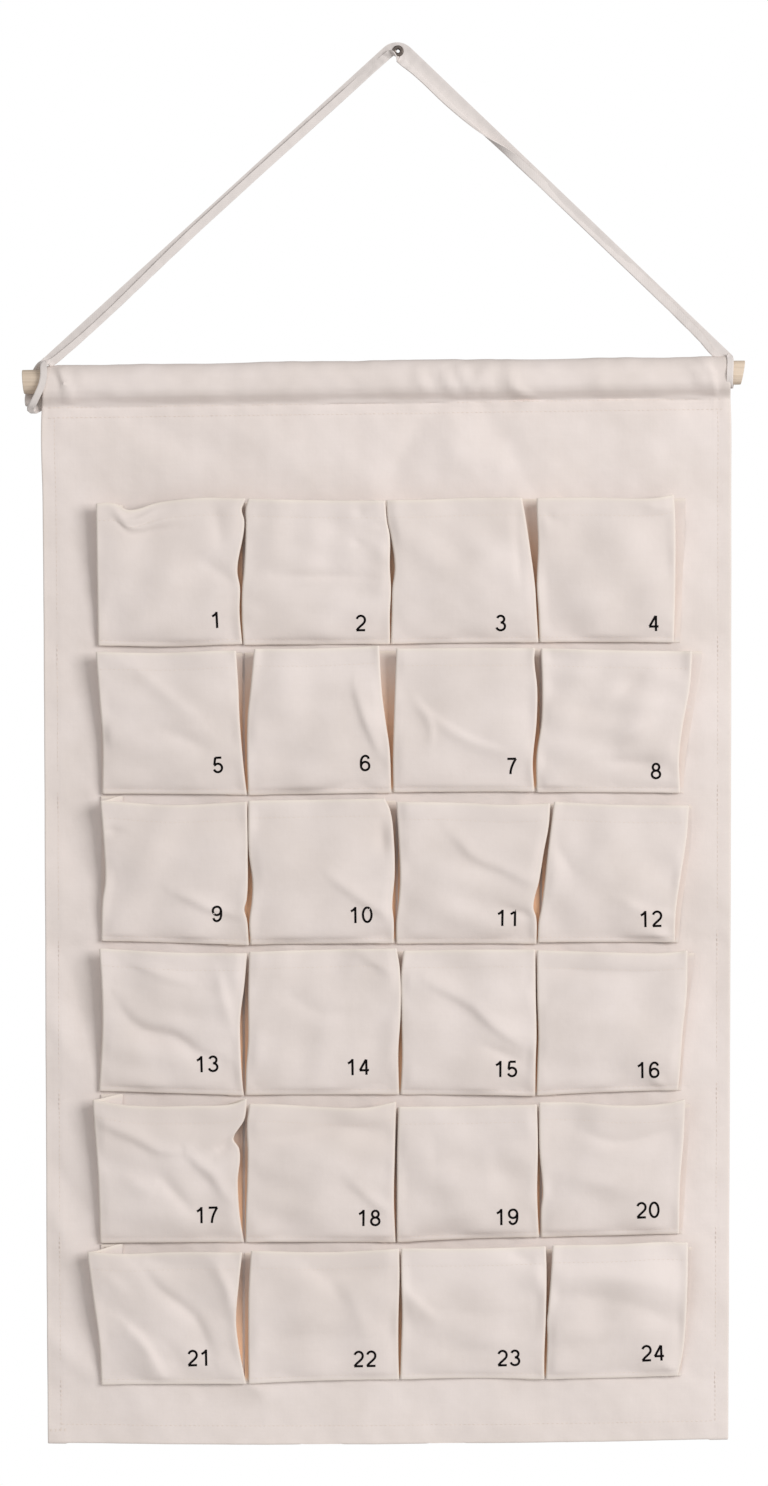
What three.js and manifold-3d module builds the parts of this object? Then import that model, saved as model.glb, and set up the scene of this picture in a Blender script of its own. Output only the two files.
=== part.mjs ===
// A hanging cloth calendar: a canvas backing with a rod tunnel, 24 bellows pockets in six rows of four,
// a wooden dowel through the tunnel, and a cotton strap with a metal eyelet to hang it by.
// Millimetres, +Z up. The front faces -Y and X runs along the dowel. The origin is the middle of the
// eyelet, where the nail goes through.
import * as THREE from 'three';
import { mergeVertices } from 'three/addons/utils/BufferGeometryUtils.js';
import Module from 'manifold-3d';

const wasm = await Module();
wasm.setup();

// How it hangs
const dropToDowel = 237.6; // from the eyelet down to the dowel's axis
const eyeletOffset = 10.4; // the eyelet is this far right of the dowel's middle
const hangTilt = 0.75; // degrees that the dowel rises to the right, because it hangs off centre
const clothShift = 2.4; // the cloth's middle is this far right of the dowel's middle

// Dowel
const dowelDiameter = 17.5;
const dowelOverhang = 12.5; // past the cloth's width at each end, before the cloth's shift
const dowelChamfer = 0.6;

// Backing cloth and its rod tunnel
const panelCloth = 1.6; // two layers of canvas
const bottomDrawIn = 3; // how much nearer the middle each side is at the bottom
const hemWidth = 10;
const hemExtra = 0.8; // the turned hem is thicker than the cloth by this
const tunnelWall = 1.4;
const tunnelSlack = 0.9; // between the dowel and the tunnel
const seamDrop = 23; // from the dowel's axis down to the tunnel's seam
const tunnelInset = 3.5; // the tunnel's ends stop this far inside the cloth's sides
const tunnelNotch = 3; // and this much further in at the top, where the strap comes down
const tunnelNotchReach = 0.7; // how far the notch runs down the sides, as a share of the radius
const tunnelInsetRun = 30; // the length over which the tunnel's ends are drawn in
const flareRun = 12; // below the seam the cloth comes out to its full width over this drop

// Folds of the backing: shallow waves that grow downwards, a buckle under the tunnel, turned sides
const waveHeight = 1.6;
const waveLength = 310;
const waveStart = 0.9;
const buckleHeight = 2.2;
const bucklePlace = 65; // right of the cloth's middle
const buckleWidth = 40;
const buckleFade = 60;
const sideCurl = 1.4;

// Pockets, and the margins of backing cloth round them
const leftMargin = 39.6;
const rightMargin = 34.4;
const footMargin = 45.3;
const pocketWidth = 107; // with its half of the gap to each neighbour
const columnTrims = [0, 4.5, -2, -2.5]; // each column is this much wider
const pocketHeight = 104.5;
const rowTrims = [0, -0.5, -3, -2, -6.5, -11]; // less height where the cloth is drawn up
const rowBand = 4.9; // of bare backing between a full pocket's foot and the next row's mouths
const firstMouthDrop = 90.2; // from the dowel's axis down to the mouths of the first row
const pocketCloth = 1.2;
const pocketGap = 2.4; // between the faces of two neighbours
const mouthDepth = 14;
const footDepth = 3.2;
const mouthTuck = 9; // how far the bellows side folds in behind the face, at the mouth
const footTuck = 5;
const mouthHem = 13;
const mouthHemProud = 0.5;
const sideDraw = 3.2; // each side of the face bows in by this at half height
const faceBulge = 2;

// Strap: a cotton tape that is folded narrower, and so thicker, along most of its length
const tapeWidth = 14.5;
const tapeThickness = 1.8;
const tapeEndWidth = 7.4;
const tapeLeftWidth = 8.8; // at the top of the left leg
const tapeApexWidth = 13.2;
const tapeOpenRun = 130; // the length of the right leg over which the tape folds up
const bendRadius = 9; // of the tape's middle line where it turns over at the eyelet
const loopWidth = 6.5;
const loopClearance = 0.35; // between the loop and the dowel
const loopGap = 0.8; // between the loop and the end of the tunnel
const loopPinch = 1.6; // how far the loop stands up over the dowel's top
const leftLoopSlack = 9; // the left loop hangs this far below the dowel
const rightLoopSlack = 1.2;
const legRise = 3.25; // the leg's middle line starts this far over the dowel's top
const legStart = 1; // and this far inwards of the loop's middle

// Eyelet
const eyeletDiameter = 8.4;
const eyeletBarrel = 5;
const eyeletBore = 3.4;
const eyeletFlange = 0.7;

// Clearances
const seatGap = 0.3; // between pieces that are sewn or pressed together

// Finishes
const canvas = new THREE.MeshStandardMaterial({ color: 0xe6ddd3, roughness: 0.95, metalness: 0 });
const pocketCanvas = new THREE.MeshStandardMaterial({ color: 0xe3d9d0, roughness: 0.95, metalness: 0 });
const tape = new THREE.MeshStandardMaterial({ color: 0xe0dad2, roughness: 0.9, metalness: 0 });
const wood = new THREE.MeshStandardMaterial({ color: 0xd8c5ac, roughness: 0.65, metalness: 0 });
const metal = new THREE.MeshStandardMaterial({ color: 0x5d5550, roughness: 0.4, metalness: 1 });

// Sizes that follow from the ones above
const tilt = THREE.MathUtils.degToRad(hangTilt);
const dowelRadius = dowelDiameter / 2;
const dowelMiddle = new THREE.Vector3(-eyeletOffset, 0, -dropToDowel);
const clothMiddleX = dowelMiddle.x + clothShift;
const tunnelInner = dowelRadius + tunnelSlack;
const tunnelOuter = tunnelInner + tunnelWall;
const columnWidths = columnTrims.map((trim) => pocketWidth + trim);
const rowHeights = rowTrims.map((trim) => pocketHeight + trim);
const rowPitch = pocketHeight + rowBand;
const pocketsWidth = columnWidths.reduce((sum, width) => sum + width, 0);
const panelWidth = leftMargin + pocketsWidth + rightMargin;
const columnsLeft = leftMargin - panelWidth / 2; // from the cloth's middle
const lastMouthDrop = firstMouthDrop + (rowHeights.length - 1) * rowPitch;
const panelDrop = lastMouthDrop + rowHeights.at(-1) + footMargin; // from the dowel's axis
const dowelLength = panelWidth + 2 * dowelOverhang;
const pocketSeat = -(panelCloth / 2 + seatGap); // the plane that the pockets are sewn to
const loopInner = dowelRadius + loopClearance;

const group = new THREE.Group();
group.name = 'hanging_pocket_calendar';

function addPiece(name, geometry, material) {
  const mesh = new THREE.Mesh(geometry, material);
  mesh.name = name;
  group.add(mesh);
  return mesh;
}

// How far the tilted dowel's axis lies above its middle at a given x
function riseAt(x) {
  return (x - dowelMiddle.x) * Math.tan(tilt);
}

// A point of the cloth: u from the cloth's middle, v from the dowel's axis
function onCloth(u, y, v) {
  const x = clothMiddleX + u;
  return new THREE.Vector3(x, y, dowelMiddle.z + v + riseAt(x));
}

// How far the hanging cloth stands back (+) or forward (-) at a place on it
function drape(u, v) {
  const below = Math.max(0, -v - seamDrop);
  const down = below / (panelDrop - seamDrop);
  const wave = waveHeight * Math.sin((2 * Math.PI * u) / waveLength + waveStart) * down;
  const onset = 1 - Math.exp(-below / hemWidth);
  const across = (u - bucklePlace) / buckleWidth;
  const buckle = -buckleHeight * Math.exp(-across * across) * onset * Math.exp(-below / buckleFade);
  const curl = -sideCurl * Math.pow(Math.abs(u) / (panelWidth / 2), 6) * onset;
  return wave + buckle + curl;
}

// Where the backing's facets meet, across (u) and up (v): at its hems, and at the pockets' edges
function clothColumns() {
  const half = panelWidth / 2;
  const sides = [half, half - hemWidth, half - hemWidth - hemExtra];
  const columns = [...sides.map((u) => -u), columnsLeft];
  for (const width of columnWidths) {
    const left = columns.at(-1);
    columns.push(left + width / 2, left + width);
  }
  return [...columns, ...sides.reverse()];
}

function clothLevels() {
  const levels = [-panelDrop, -panelDrop + hemWidth, -panelDrop + hemWidth + hemExtra];
  for (let row = rowHeights.length - 1; row >= 0; row--) {
    const mouth = -firstMouthDrop - row * rowPitch;
    const foot = mouth - rowHeights[row];
    levels.push(foot, (foot + mouth) / 2, mouth);
  }
  return [...levels, -(firstMouthDrop + seamDrop) / 2, -seamDrop - flareRun, -seamDrop];
}

// The drape of the backing's own facets, which the pockets are sewn to
function facetDrape(u, v) {
  const span = (values, value) => {
    const i = Math.max(1, values.findIndex((edge, k) => value <= edge || k === values.length - 1));
    return [values[i - 1], values[i], (value - values[i - 1]) / (values[i] - values[i - 1])];
  };
  const [left, right, across] = span(clothColumns(), u);
  const [low, high, up] = span(clothLevels(), v);
  const lerp = THREE.MathUtils.lerp;
  return lerp(
    lerp(drape(left, low), drape(right, low), across),
    lerp(drape(left, high), drape(right, high), across),
    up,
  );
}

// A geometry from points and triangles, turned so that its faces point outwards
function solidGeometry(points, triangles) {
  let volume = 0;
  for (const [a, b, c] of triangles) {
    volume += points[a].dot(new THREE.Vector3().crossVectors(points[b], points[c]));
  }
  const order = volume < 0 ? triangles.map(([a, b, c]) => [a, c, b]) : triangles;
  const geometry = new THREE.BufferGeometry().setFromPoints(points);
  geometry.setIndex(order.flat());
  return geometry;
}

// The skin between rings of equally many points, each ring closed on itself
function skinTriangles(rings, ringSize, first = 0, inward = false) {
  const triangles = [];
  for (let i = 0; i + 1 < rings; i++) {
    for (let j = 0; j < ringSize; j++) {
      const a = first + i * ringSize + j;
      const b = first + i * ringSize + ((j + 1) % ringSize);
      const c = a + ringSize;
      const d = b + ringSize;
      triangles.push(...(inward ? [[a, c, b], [b, c, d]] : [[a, b, c], [b, d, c]]));
    }
  }
  return triangles;
}

// A point as it is seen from the side, in a section across the dowel
function inSection(point) {
  return new THREE.Vector2(point.y, point.z);
}

// A closed solid through rings of points, with the flat outline of each end to fill it by
function loft(rings, startOutline, endOutline) {
  const size = rings[0].length;
  const triangles = skinTriangles(rings.length, size);
  const last = (rings.length - 1) * size;
  for (const [a, b, c] of fill(startOutline)) triangles.push([a, c, b]);
  for (const [a, b, c] of fill(endOutline)) triangles.push([last + a, last + b, last + c]);
  return solidGeometry(rings.flat(), triangles);
}

// Triangles that fill an outline, always turning the same way as the outline does
function fill(outline, holes = []) {
  const faces = THREE.ShapeUtils.triangulateShape(outline, holes);
  const all = [...outline, ...holes.flat()];
  const area = (a, b, c) => (b.x - a.x) * (c.y - a.y) - (c.x - a.x) * (b.y - a.y);
  const turn = Math.sign(THREE.ShapeUtils.area(outline));
  return faces.map(([a, b, c]) => (area(all[a], all[b], all[c]) * turn > 0 ? [a, b, c] : [a, c, b]));
}

function toManifold(geometry) {
  const bare = geometry.clone();
  bare.deleteAttribute('normal');
  bare.deleteAttribute('uv');
  const merged = mergeVertices(bare, 1e-4);
  return new wasm.Manifold(new wasm.Mesh({
    numProp: 3,
    vertProperties: new Float32Array(merged.attributes.position.array),
    triVerts: new Uint32Array(merged.index.array),
  }));
}

function fromManifold(solid) {
  const mesh = solid.getMesh();
  const geometry = new THREE.BufferGeometry();
  const places = new Float32Array(mesh.vertProperties);
  geometry.setAttribute('position', new THREE.BufferAttribute(places, 3));
  geometry.setIndex([...mesh.triVerts]);
  return geometry;
}

// Dowel: a round rod with its end edges broken

function makeDowel() {
  const half = dowelLength / 2;
  const profile = [
    new THREE.Vector2(0, -half),
    new THREE.Vector2(dowelRadius - dowelChamfer, -half),
    new THREE.Vector2(dowelRadius, -half + dowelChamfer),
    new THREE.Vector2(dowelRadius, half - dowelChamfer),
    new THREE.Vector2(dowelRadius - dowelChamfer, half),
    new THREE.Vector2(0, half),
  ];
  const geometry = new THREE.LatheGeometry(profile, 32);
  geometry.rotateZ(-Math.PI / 2);
  const dowel = addPiece('dowel', geometry, wood);
  dowel.position.copy(dowelMiddle);
  dowel.rotation.y = -tilt;
}

// Backing cloth, with hems at its sides and foot. Its top is folded over the dowel and sewn down: this
// tunnel has two solids of its own, left and right, which meet each other and the rest at the seam.

// The closed side of a tunnel's section: an arc over the dowel that both layers leave at a tangent to
// meet at the seam. It runs from the front, over the top, to the back, without the seam's own points.
function tunnelArc(radius, seamHalf, drop, steps) {
  const toSeam = Math.hypot(seamHalf, drop);
  const leaves = Math.atan2(seamHalf, drop) + Math.acos(radius / toSeam);
  const points = [];
  for (let i = 0; i <= steps; i++) {
    const angle = leaves + ((2 * Math.PI - 2 * leaves) * i) / steps;
    points.push({ y: -radius * Math.sin(angle), v: -radius * Math.cos(angle) });
  }
  return points;
}

function makeRodTunnel(name, side) {
  const half = panelWidth / 2;
  const columns = [seatGap / 2, half - tunnelInsetRun, half].map((u) => side * u);
  columns.sort((a, b) => a - b);
  const tunnelPoint = (u, y, v, radius) => {
    const atEnd = Math.max(0, 1 - (half - Math.abs(u)) / tunnelInsetRun);
    const notched = THREE.MathUtils.clamp(v / radius + tunnelNotchReach, 0, 1);
    return onCloth(u - Math.sign(u) * (tunnelInset + tunnelNotch * notched) * atEnd, y, v);
  };
  const foot = -seamDrop + seatGap;
  const outerSection = [
    { y: -panelCloth / 2, v: foot },
    ...tunnelArc(tunnelOuter, panelCloth / 2, seamDrop, 14),
    { y: panelCloth / 2, v: foot },
  ];
  const innerDrop = seamDrop - tunnelWall;
  const innerSection = [{ y: 0, v: -innerDrop }, ...tunnelArc(tunnelInner, 0, innerDrop, 14)];
  const outer = columns.map((u) => outerSection.map(({ y, v }) => tunnelPoint(u, y, v, tunnelOuter)));
  const inner = columns.map((u) => innerSection.map(({ y, v }) => tunnelPoint(u, y, v, tunnelInner)));
  const holeStart = outer.flat().length;

  const triangles = [
    ...skinTriangles(columns.length, outerSection.length),
    ...skinTriangles(columns.length, innerSection.length, holeStart, true),
  ];
  for (const end of [0, columns.length - 1]) {
    const outerFirst = end * outerSection.length;
    const innerFirst = holeStart + end * innerSection.length - outerSection.length;
    const index = (k) => k + (k < outerSection.length ? outerFirst : innerFirst);
    for (const [a, b, c] of fill(outer[end].map(inSection), [inner[end].map(inSection)])) {
      triangles.push(end ? [index(a), index(b), index(c)] : [index(a), index(c), index(b)]);
    }
  }
  addPiece(name, solidGeometry([...outer.flat(), ...inner.flat()], triangles), canvas);
}

function makeBackingPanel() {
  const half = panelWidth / 2;
  const levels = clothLevels();
  const pocketReach = Math.max(-columnsLeft, columnsLeft + pocketsWidth);
  const halfThickness = (u, v) => {
    const inHem = Math.abs(u) >= half - hemWidth || v <= -panelDrop + hemWidth;
    return (panelCloth + (inHem && v < -seamDrop ? hemExtra : 0)) / 2;
  };
  const clothPoint = (u, v, side) => {
    const outer = Math.max(0, (Math.abs(u) - pocketReach) / (half - pocketReach));
    const inset = v >= -seamDrop ? tunnelInset : (bottomDrawIn * -v) / panelDrop;
    return onCloth(u - Math.sign(u) * inset * outer, side * halfThickness(u, v) + drape(u, v), v);
  };
  const rings = clothColumns().map((u) => [
    ...levels.map((v) => clothPoint(u, v, -1)),
    ...[...levels].reverse().map((v) => clothPoint(u, v, 1)),
  ]);
  addPiece('backing_panel', loft(rings, rings[0].map(inSection), rings.at(-1).map(inSection)), canvas);
}

// Pockets: a face with bellows sides that fold in behind it, a turned hem at the mouth, a sewn foot

// The line of a pocket's cloth seen from above, from one back edge round the face to the other.
// h is the height as a share of the pocket's own.
function pocketLine(width, height, h) {
  const inHem = h * height > height - mouthHem;
  const depth = footDepth + (mouthDepth - footDepth) * Math.pow(h, 0.85) + (inHem ? mouthHemProud : 0);
  const side = width / 2 - sideDraw * Math.sin(Math.PI * h);
  const back = width / 2 - footTuck - (mouthTuck - footTuck) * h;
  const bulge = faceBulge * Math.sin(Math.PI * h);
  return [
    new THREE.Vector2(-back, 0),
    new THREE.Vector2(-side, -depth),
    new THREE.Vector2(-side / 2, -depth - bulge * 0.8),
    new THREE.Vector2(0, -depth - bulge),
    new THREE.Vector2(side / 2, -depth - bulge * 0.8),
    new THREE.Vector2(side, -depth),
    new THREE.Vector2(back, 0),
  ];
}

// The same line moved inwards by the cloth's thickness, its ends run on through the back
function innerLine(line, thickness, past) {
  const offset = [];
  const normal = (a, b) => new THREE.Vector2(-(b.y - a.y), b.x - a.x).normalize();
  for (let i = 0; i < line.length; i++) {
    const before = i > 0 ? normal(line[i - 1], line[i]) : normal(line[0], line[1]);
    const after = i + 1 < line.length ? normal(line[i], line[i + 1]) : before;
    const mitre = before.clone().add(after);
    mitre.multiplyScalar(thickness / (1 + before.dot(after)));
    offset.push(line[i].clone().add(mitre));
  }
  for (const [end, next] of [[0, 1], [line.length - 1, line.length - 2]]) {
    const run = offset[end].clone().sub(offset[next]);
    offset[end].addScaledVector(run, past / run.y);
  }
  return offset;
}

function makePocket(name, left, width, mouth, height) {
  const past = 5; // how far the cutting shape runs past the mouth and the back
  const hemFoot = (height - mouthHem) / height;
  const shares = [0, 0.22, 0.5, 0.74, hemFoot - 0.01, hemFoot + 0.001, 1];
  const sewn = (x, y, z) => {
    const u = left + width / 2 + x;
    const v = mouth - height + z;
    return onCloth(u, pocketSeat + y + facetDrape(u, v), v);
  };
  const blockLines = shares.map((h) => [...pocketLine(width, height, h), new THREE.Vector2(0, 0)]);
  const roomLines = shares.map((h) => innerLine(pocketLine(width, height, h), pocketCloth, past));
  const blockRings = blockLines.map((line, i) => line.map((p) => sewn(p.x, p.y, shares[i] * height)));
  const roomRings = roomLines.map((line, i) =>
    line.map((p) => sewn(p.x, p.y, Math.max(shares[i] * height, pocketCloth))));
  roomRings.push(roomLines.at(-1).map((p) => sewn(p.x, p.y, height + past)));
  const block = toManifold(loft(blockRings, blockLines[0], blockLines.at(-1)));
  const room = toManifold(loft(roomRings, roomLines[0], roomLines.at(-1)));
  addPiece(name, fromManifold(block.subtract(room)), pocketCanvas);
}

function makePockets() {
  let number = 1;
  for (let row = 0; row < rowHeights.length; row++) {
    const mouth = -firstMouthDrop - row * rowPitch;
    let left = columnsLeft;
    for (const width of columnWidths) {
      const name = `pocket_${String(number).padStart(2, '0')}`;
      makePocket(name, left + pocketGap / 2, width - pocketGap, mouth, rowHeights[row]);
      left += width;
      number += 1;
    }
  }
}

// Strap: a loop round each end of the dowel, two legs, and a turn at the eyelet

// Where each loop's middle lies along the dowel, just past the tunnel's end
function loopX(side) {
  return clothMiddleX + side * (panelWidth / 2 - tunnelInset + loopGap + loopWidth / 2);
}

// A loop's outline seen along the dowel: an arc over the top that rises to a low peak, and a slack foot
function loopOutline(radius, peak, slack) {
  const steps = 8;
  const points = [];
  for (let i = 0; i < steps * 2; i++) {
    const angle = (Math.PI * i) / steps;
    const y = radius * Math.cos(angle);
    const up = Math.sin(angle);
    points.push(new THREE.Vector2(y, up >= 0 ? up * (radius + peak * up ** 6) : up * (radius + slack)));
  }
  return points;
}

function loopSolid(side, slack) {
  const x = loopX(side);
  const shape = new THREE.Shape(loopOutline(loopInner + tapeThickness, loopPinch, slack));
  shape.holes.push(new THREE.Path(loopOutline(loopInner, loopPinch, slack)));
  const geometry = new THREE.ExtrudeGeometry(shape, { depth: loopWidth, bevelEnabled: false });
  geometry.translate(0, 0, -loopWidth / 2);
  const turn = new THREE.Matrix4().makeBasis(
    new THREE.Vector3(0, 1, 0), new THREE.Vector3(0, 0, 1), new THREE.Vector3(1, 0, 0));
  geometry.applyMatrix4(turn);
  geometry.translate(x, 0, dowelMiddle.z + riseAt(x));
  return toManifold(geometry);
}

// The middle line of the strap from loop to loop, with the tape's width at each point
function strapLine() {
  const stations = [];
  const centre = new THREE.Vector2(0, -bendRadius);
  const legs = [-1, 1].map((side) => {
    const x = loopX(side) - side * legStart;
    const start = new THREE.Vector2(x, dowelMiddle.z + riseAt(loopX(side)) + dowelRadius + legRise);
    const away = start.clone().sub(centre);
    const tangent = Math.atan2(away.y, away.x) + side * Math.acos(bendRadius / away.length());
    return { start, angle: (tangent + 2 * Math.PI) % (2 * Math.PI) };
  });
  const onBend = (angle) =>
    new THREE.Vector2(bendRadius * Math.cos(angle), bendRadius * Math.sin(angle)).add(centre);
  const legSteps = 6;
  const bendSteps = 8;
  const [leftLeg, rightLeg] = legs;
  const leftTop = onBend(leftLeg.angle);
  for (let i = 0; i < legSteps; i++) {
    const share = i / legSteps;
    const width = THREE.MathUtils.lerp(tapeEndWidth, tapeLeftWidth, share);
    stations.push({ at: leftLeg.start.clone().lerp(leftTop, share), width });
  }
  for (let i = 0; i <= bendSteps; i++) {
    const share = i / bendSteps;
    const angle = THREE.MathUtils.lerp(leftLeg.angle, rightLeg.angle, share);
    const width = share < 0.5
      ? THREE.MathUtils.lerp(tapeLeftWidth, tapeApexWidth, share * 2)
      : THREE.MathUtils.lerp(tapeApexWidth, tapeWidth, share * 2 - 1);
    stations.push({ at: onBend(angle), width });
  }
  const rightTop = onBend(rightLeg.angle);
  const length = rightTop.distanceTo(rightLeg.start);
  for (let i = 1; i <= legSteps; i++) {
    const share = i / legSteps;
    const folding = Math.min(1, (share * length) / tapeOpenRun);
    const folded = THREE.MathUtils.lerp(tapeLeftWidth, tapeEndWidth, share);
    const width = THREE.MathUtils.lerp(tapeWidth, folded, folding);
    stations.push({ at: rightTop.clone().lerp(rightLeg.start, share), width });
  }
  return stations;
}

// The tape keeps its cloth: where it is folded narrower it is thicker
function tapeRing(at, along, width) {
  const across = new THREE.Vector2(-along.y, along.x).normalize();
  const thick = (tapeWidth * tapeThickness) / width / 2;
  const half = width / 2;
  const edge = Math.min(thick, half) * 0.5;
  const section = [
    [half, -thick + edge], [half, thick - edge], [half - edge, thick], [-half + edge, thick],
    [-half, thick - edge], [-half, -thick + edge], [-half + edge, -thick], [half - edge, -thick],
  ];
  return section.map(([w, y]) => new THREE.Vector3(at.x + across.x * w, y, at.y + across.y * w));
}

function makeStrap() {
  const stations = strapLine();
  const rings = stations.map(({ at, width }, i) => {
    const before = stations[Math.max(0, i - 1)].at;
    const after = stations[Math.min(stations.length - 1, i + 1)].at;
    return tapeRing(at, after.clone().sub(before), width);
  });
  const outline = tapeRing(new THREE.Vector2(), new THREE.Vector2(1, 0), tapeEndWidth)
    .map((p) => new THREE.Vector2(p.y, p.z));
  const hole = new THREE.CylinderGeometry(
    eyeletBarrel / 2 + seatGap, eyeletBarrel / 2 + seatGap, tapeWidth, 24);
  const strap = toManifold(loft(rings, outline, outline))
    .add(loopSolid(-1, leftLoopSlack))
    .add(loopSolid(1, rightLoopSlack))
    .subtract(toManifold(hole));
  addPiece('hanging_strap', fromManifold(strap), tape);
}

// Eyelet: a short barrel through the strap with a flange on each face

function makeEyelet() {
  const face = (tapeWidth * tapeThickness) / tapeApexWidth / 2 + seatGap;
  const profile = [
    [eyeletBore / 2, -face - eyeletFlange],
    [eyeletDiameter / 2 - eyeletFlange / 2, -face - eyeletFlange],
    [eyeletDiameter / 2, -face],
    [eyeletBarrel / 2, -face],
    [eyeletBarrel / 2, face],
    [eyeletDiameter / 2, face],
    [eyeletDiameter / 2 - eyeletFlange / 2, face + eyeletFlange],
    [eyeletBore / 2, face + eyeletFlange],
    [eyeletBore / 2, -face - eyeletFlange],
  ].map(([r, y]) => new THREE.Vector2(r, y));
  addPiece('hanging_eyelet', new THREE.LatheGeometry(profile, 24), metal);
}

makeStrap();
makeEyelet();
makeDowel();
makeRodTunnel('rod_tunnel_left', -1);
makeRodTunnel('rod_tunnel_right', 1);
makeBackingPanel();
makePockets();

export default group;
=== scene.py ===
"""A canvas wall calendar: a backing with a rod tunnel, 24 bellows pockets with printed numbers,
a wooden dowel, and a cotton strap with an eyelet. Run it inside Blender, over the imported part."""

import math
import random
from collections import namedtuple

import bmesh
import bpy
import numpy as np
from bpy.props import FloatProperty, FloatVectorProperty, PointerProperty
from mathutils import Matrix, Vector


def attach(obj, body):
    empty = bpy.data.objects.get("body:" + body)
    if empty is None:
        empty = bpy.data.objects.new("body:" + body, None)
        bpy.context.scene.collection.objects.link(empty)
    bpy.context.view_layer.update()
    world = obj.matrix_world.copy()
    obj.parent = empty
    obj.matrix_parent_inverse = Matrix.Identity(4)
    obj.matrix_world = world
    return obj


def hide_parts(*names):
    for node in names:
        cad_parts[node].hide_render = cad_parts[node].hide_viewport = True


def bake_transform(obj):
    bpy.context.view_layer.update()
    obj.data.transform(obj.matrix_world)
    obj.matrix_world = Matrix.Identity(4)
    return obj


bl_info = {
    "name": "Hanging Pocket Calendar",
    "version": (1, 0, 0),
    "blender": (4, 5, 0),
    "location": "3D Viewport > Sidebar > Calendar",
    "description": "Canvas calendar with 24 pockets, a dowel and a strap",
    "category": "Object",
}

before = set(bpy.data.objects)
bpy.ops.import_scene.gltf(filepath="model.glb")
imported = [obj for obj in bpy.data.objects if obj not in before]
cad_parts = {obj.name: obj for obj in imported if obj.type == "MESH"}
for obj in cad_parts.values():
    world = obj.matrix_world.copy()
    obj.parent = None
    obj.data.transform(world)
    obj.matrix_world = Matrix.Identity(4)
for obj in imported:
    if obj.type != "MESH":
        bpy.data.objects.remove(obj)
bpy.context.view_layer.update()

MM = 0.001

# How the part hangs, in millimetres: the origin is the eyelet, the front faces -Y
DOWEL_DROP = 237.6
DOWEL_X = -10.4
CLOTH_X = -8.0
TILT_DEGREES = 0.75
TILT = math.tan(math.radians(TILT_DEGREES))
DOWEL_RADIUS = 8.75
DOWEL_LENGTH = 527.0
DOWEL_RIM = 0.6

# Backing: u runs across from the cloth's middle, v up from the dowel's axis
CLOTH_DROP = 776.0
CLOTH_FOOT = -777.0
SEAM_DROP = 19.0
SECOND_SEAM_DROP = 26.5
BOTTOM_HEM = 13.0
SIDE_HEM = 9.8
TUNNEL_RADIUS = 10.2

# Pockets: the edges between the columns, the mouths' lines and the heights of the rows
COLUMNS = 4
COLUMN_EDGES = (-211.4, -104.4, 7.1, 112.1, 216.6)
FIRST_MOUTH = -90.2
ROW_PITCH = 109.4
ROW_HEIGHTS = (104.5, 104.0, 101.5, 102.5, 98.0, 93.5)
MOUTH_HEM = 12.5
FOOT_STITCH = 3.0
FOOT_DEPTH = 3.2

# A pocket's bellows: how far inwards a side folds, how far its back layer lies in front of the
# backing's middle, and how far inside the column's edge its seam lies
BELLOWS = 15.5
SEAT = 1.15
SEAM_INSET = 0.9

# The radius of a pocket's turned hem, as a share of the cloth's thickness
HEM_TURN = 0.62

# The camera stands this far in front, level, with its axis through this point
CAMERA_DISTANCE = 3200.0
CAMERA_X = -10.2
CAMERA_Z = -504.2
VIEW_HEIGHT = 1083.3
SENSOR_HEIGHT = 36


# Shape helpers


def smoothstep(x):
    """From 0 at 0 to 1 at 1, level at both ends."""
    x = np.clip(x, 0.0, 1.0)
    return x * x * (3 - 2 * x)


def mound(x, width):
    """A round hump, 1 at x = 0."""
    return np.exp(-((x / width) ** 2))


def lengths_along(points):
    """How far each point lies along the way through them all."""
    steps = np.linalg.norm(np.diff(points, axis=0), axis=-1)
    return np.concatenate([[0], np.cumsum(steps)])


def through(points, x):
    """A smooth line through (place, value) points, flat past its ends."""
    points = sorted(points)
    px = np.array([p[0] for p in points], float)
    py = np.array([p[1] for p in points], float)
    slopes = np.diff(py) / np.diff(px)
    tangents = np.concatenate([[slopes[0]], (slopes[1:] + slopes[:-1]) / 2, [slopes[-1]]])
    x = np.clip(np.asarray(x, float), px[0], px[-1])
    k = np.clip(np.searchsorted(px, x) - 1, 0, len(px) - 2)
    step = px[k + 1] - px[k]
    t = (x - px[k]) / step
    return (
        (2 * t**3 - 3 * t**2 + 1) * py[k]
        + (t**3 - 2 * t**2 + t) * step * tangents[k]
        + (-2 * t**3 + 3 * t**2) * py[k + 1]
        + (t**3 - t**2) * step * tangents[k + 1]
    )


def curve_points(points, spacing):
    """Even points along a smooth curve through the given ones."""
    points = np.array(points, float)
    at = lengths_along(points)
    count = max(2, int(round(at[-1] / spacing)) + 1)
    t = np.linspace(0, at[-1], count)
    return np.stack([through(list(zip(at, points[:, k])), t) for k in range(points.shape[1])], -1)


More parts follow.
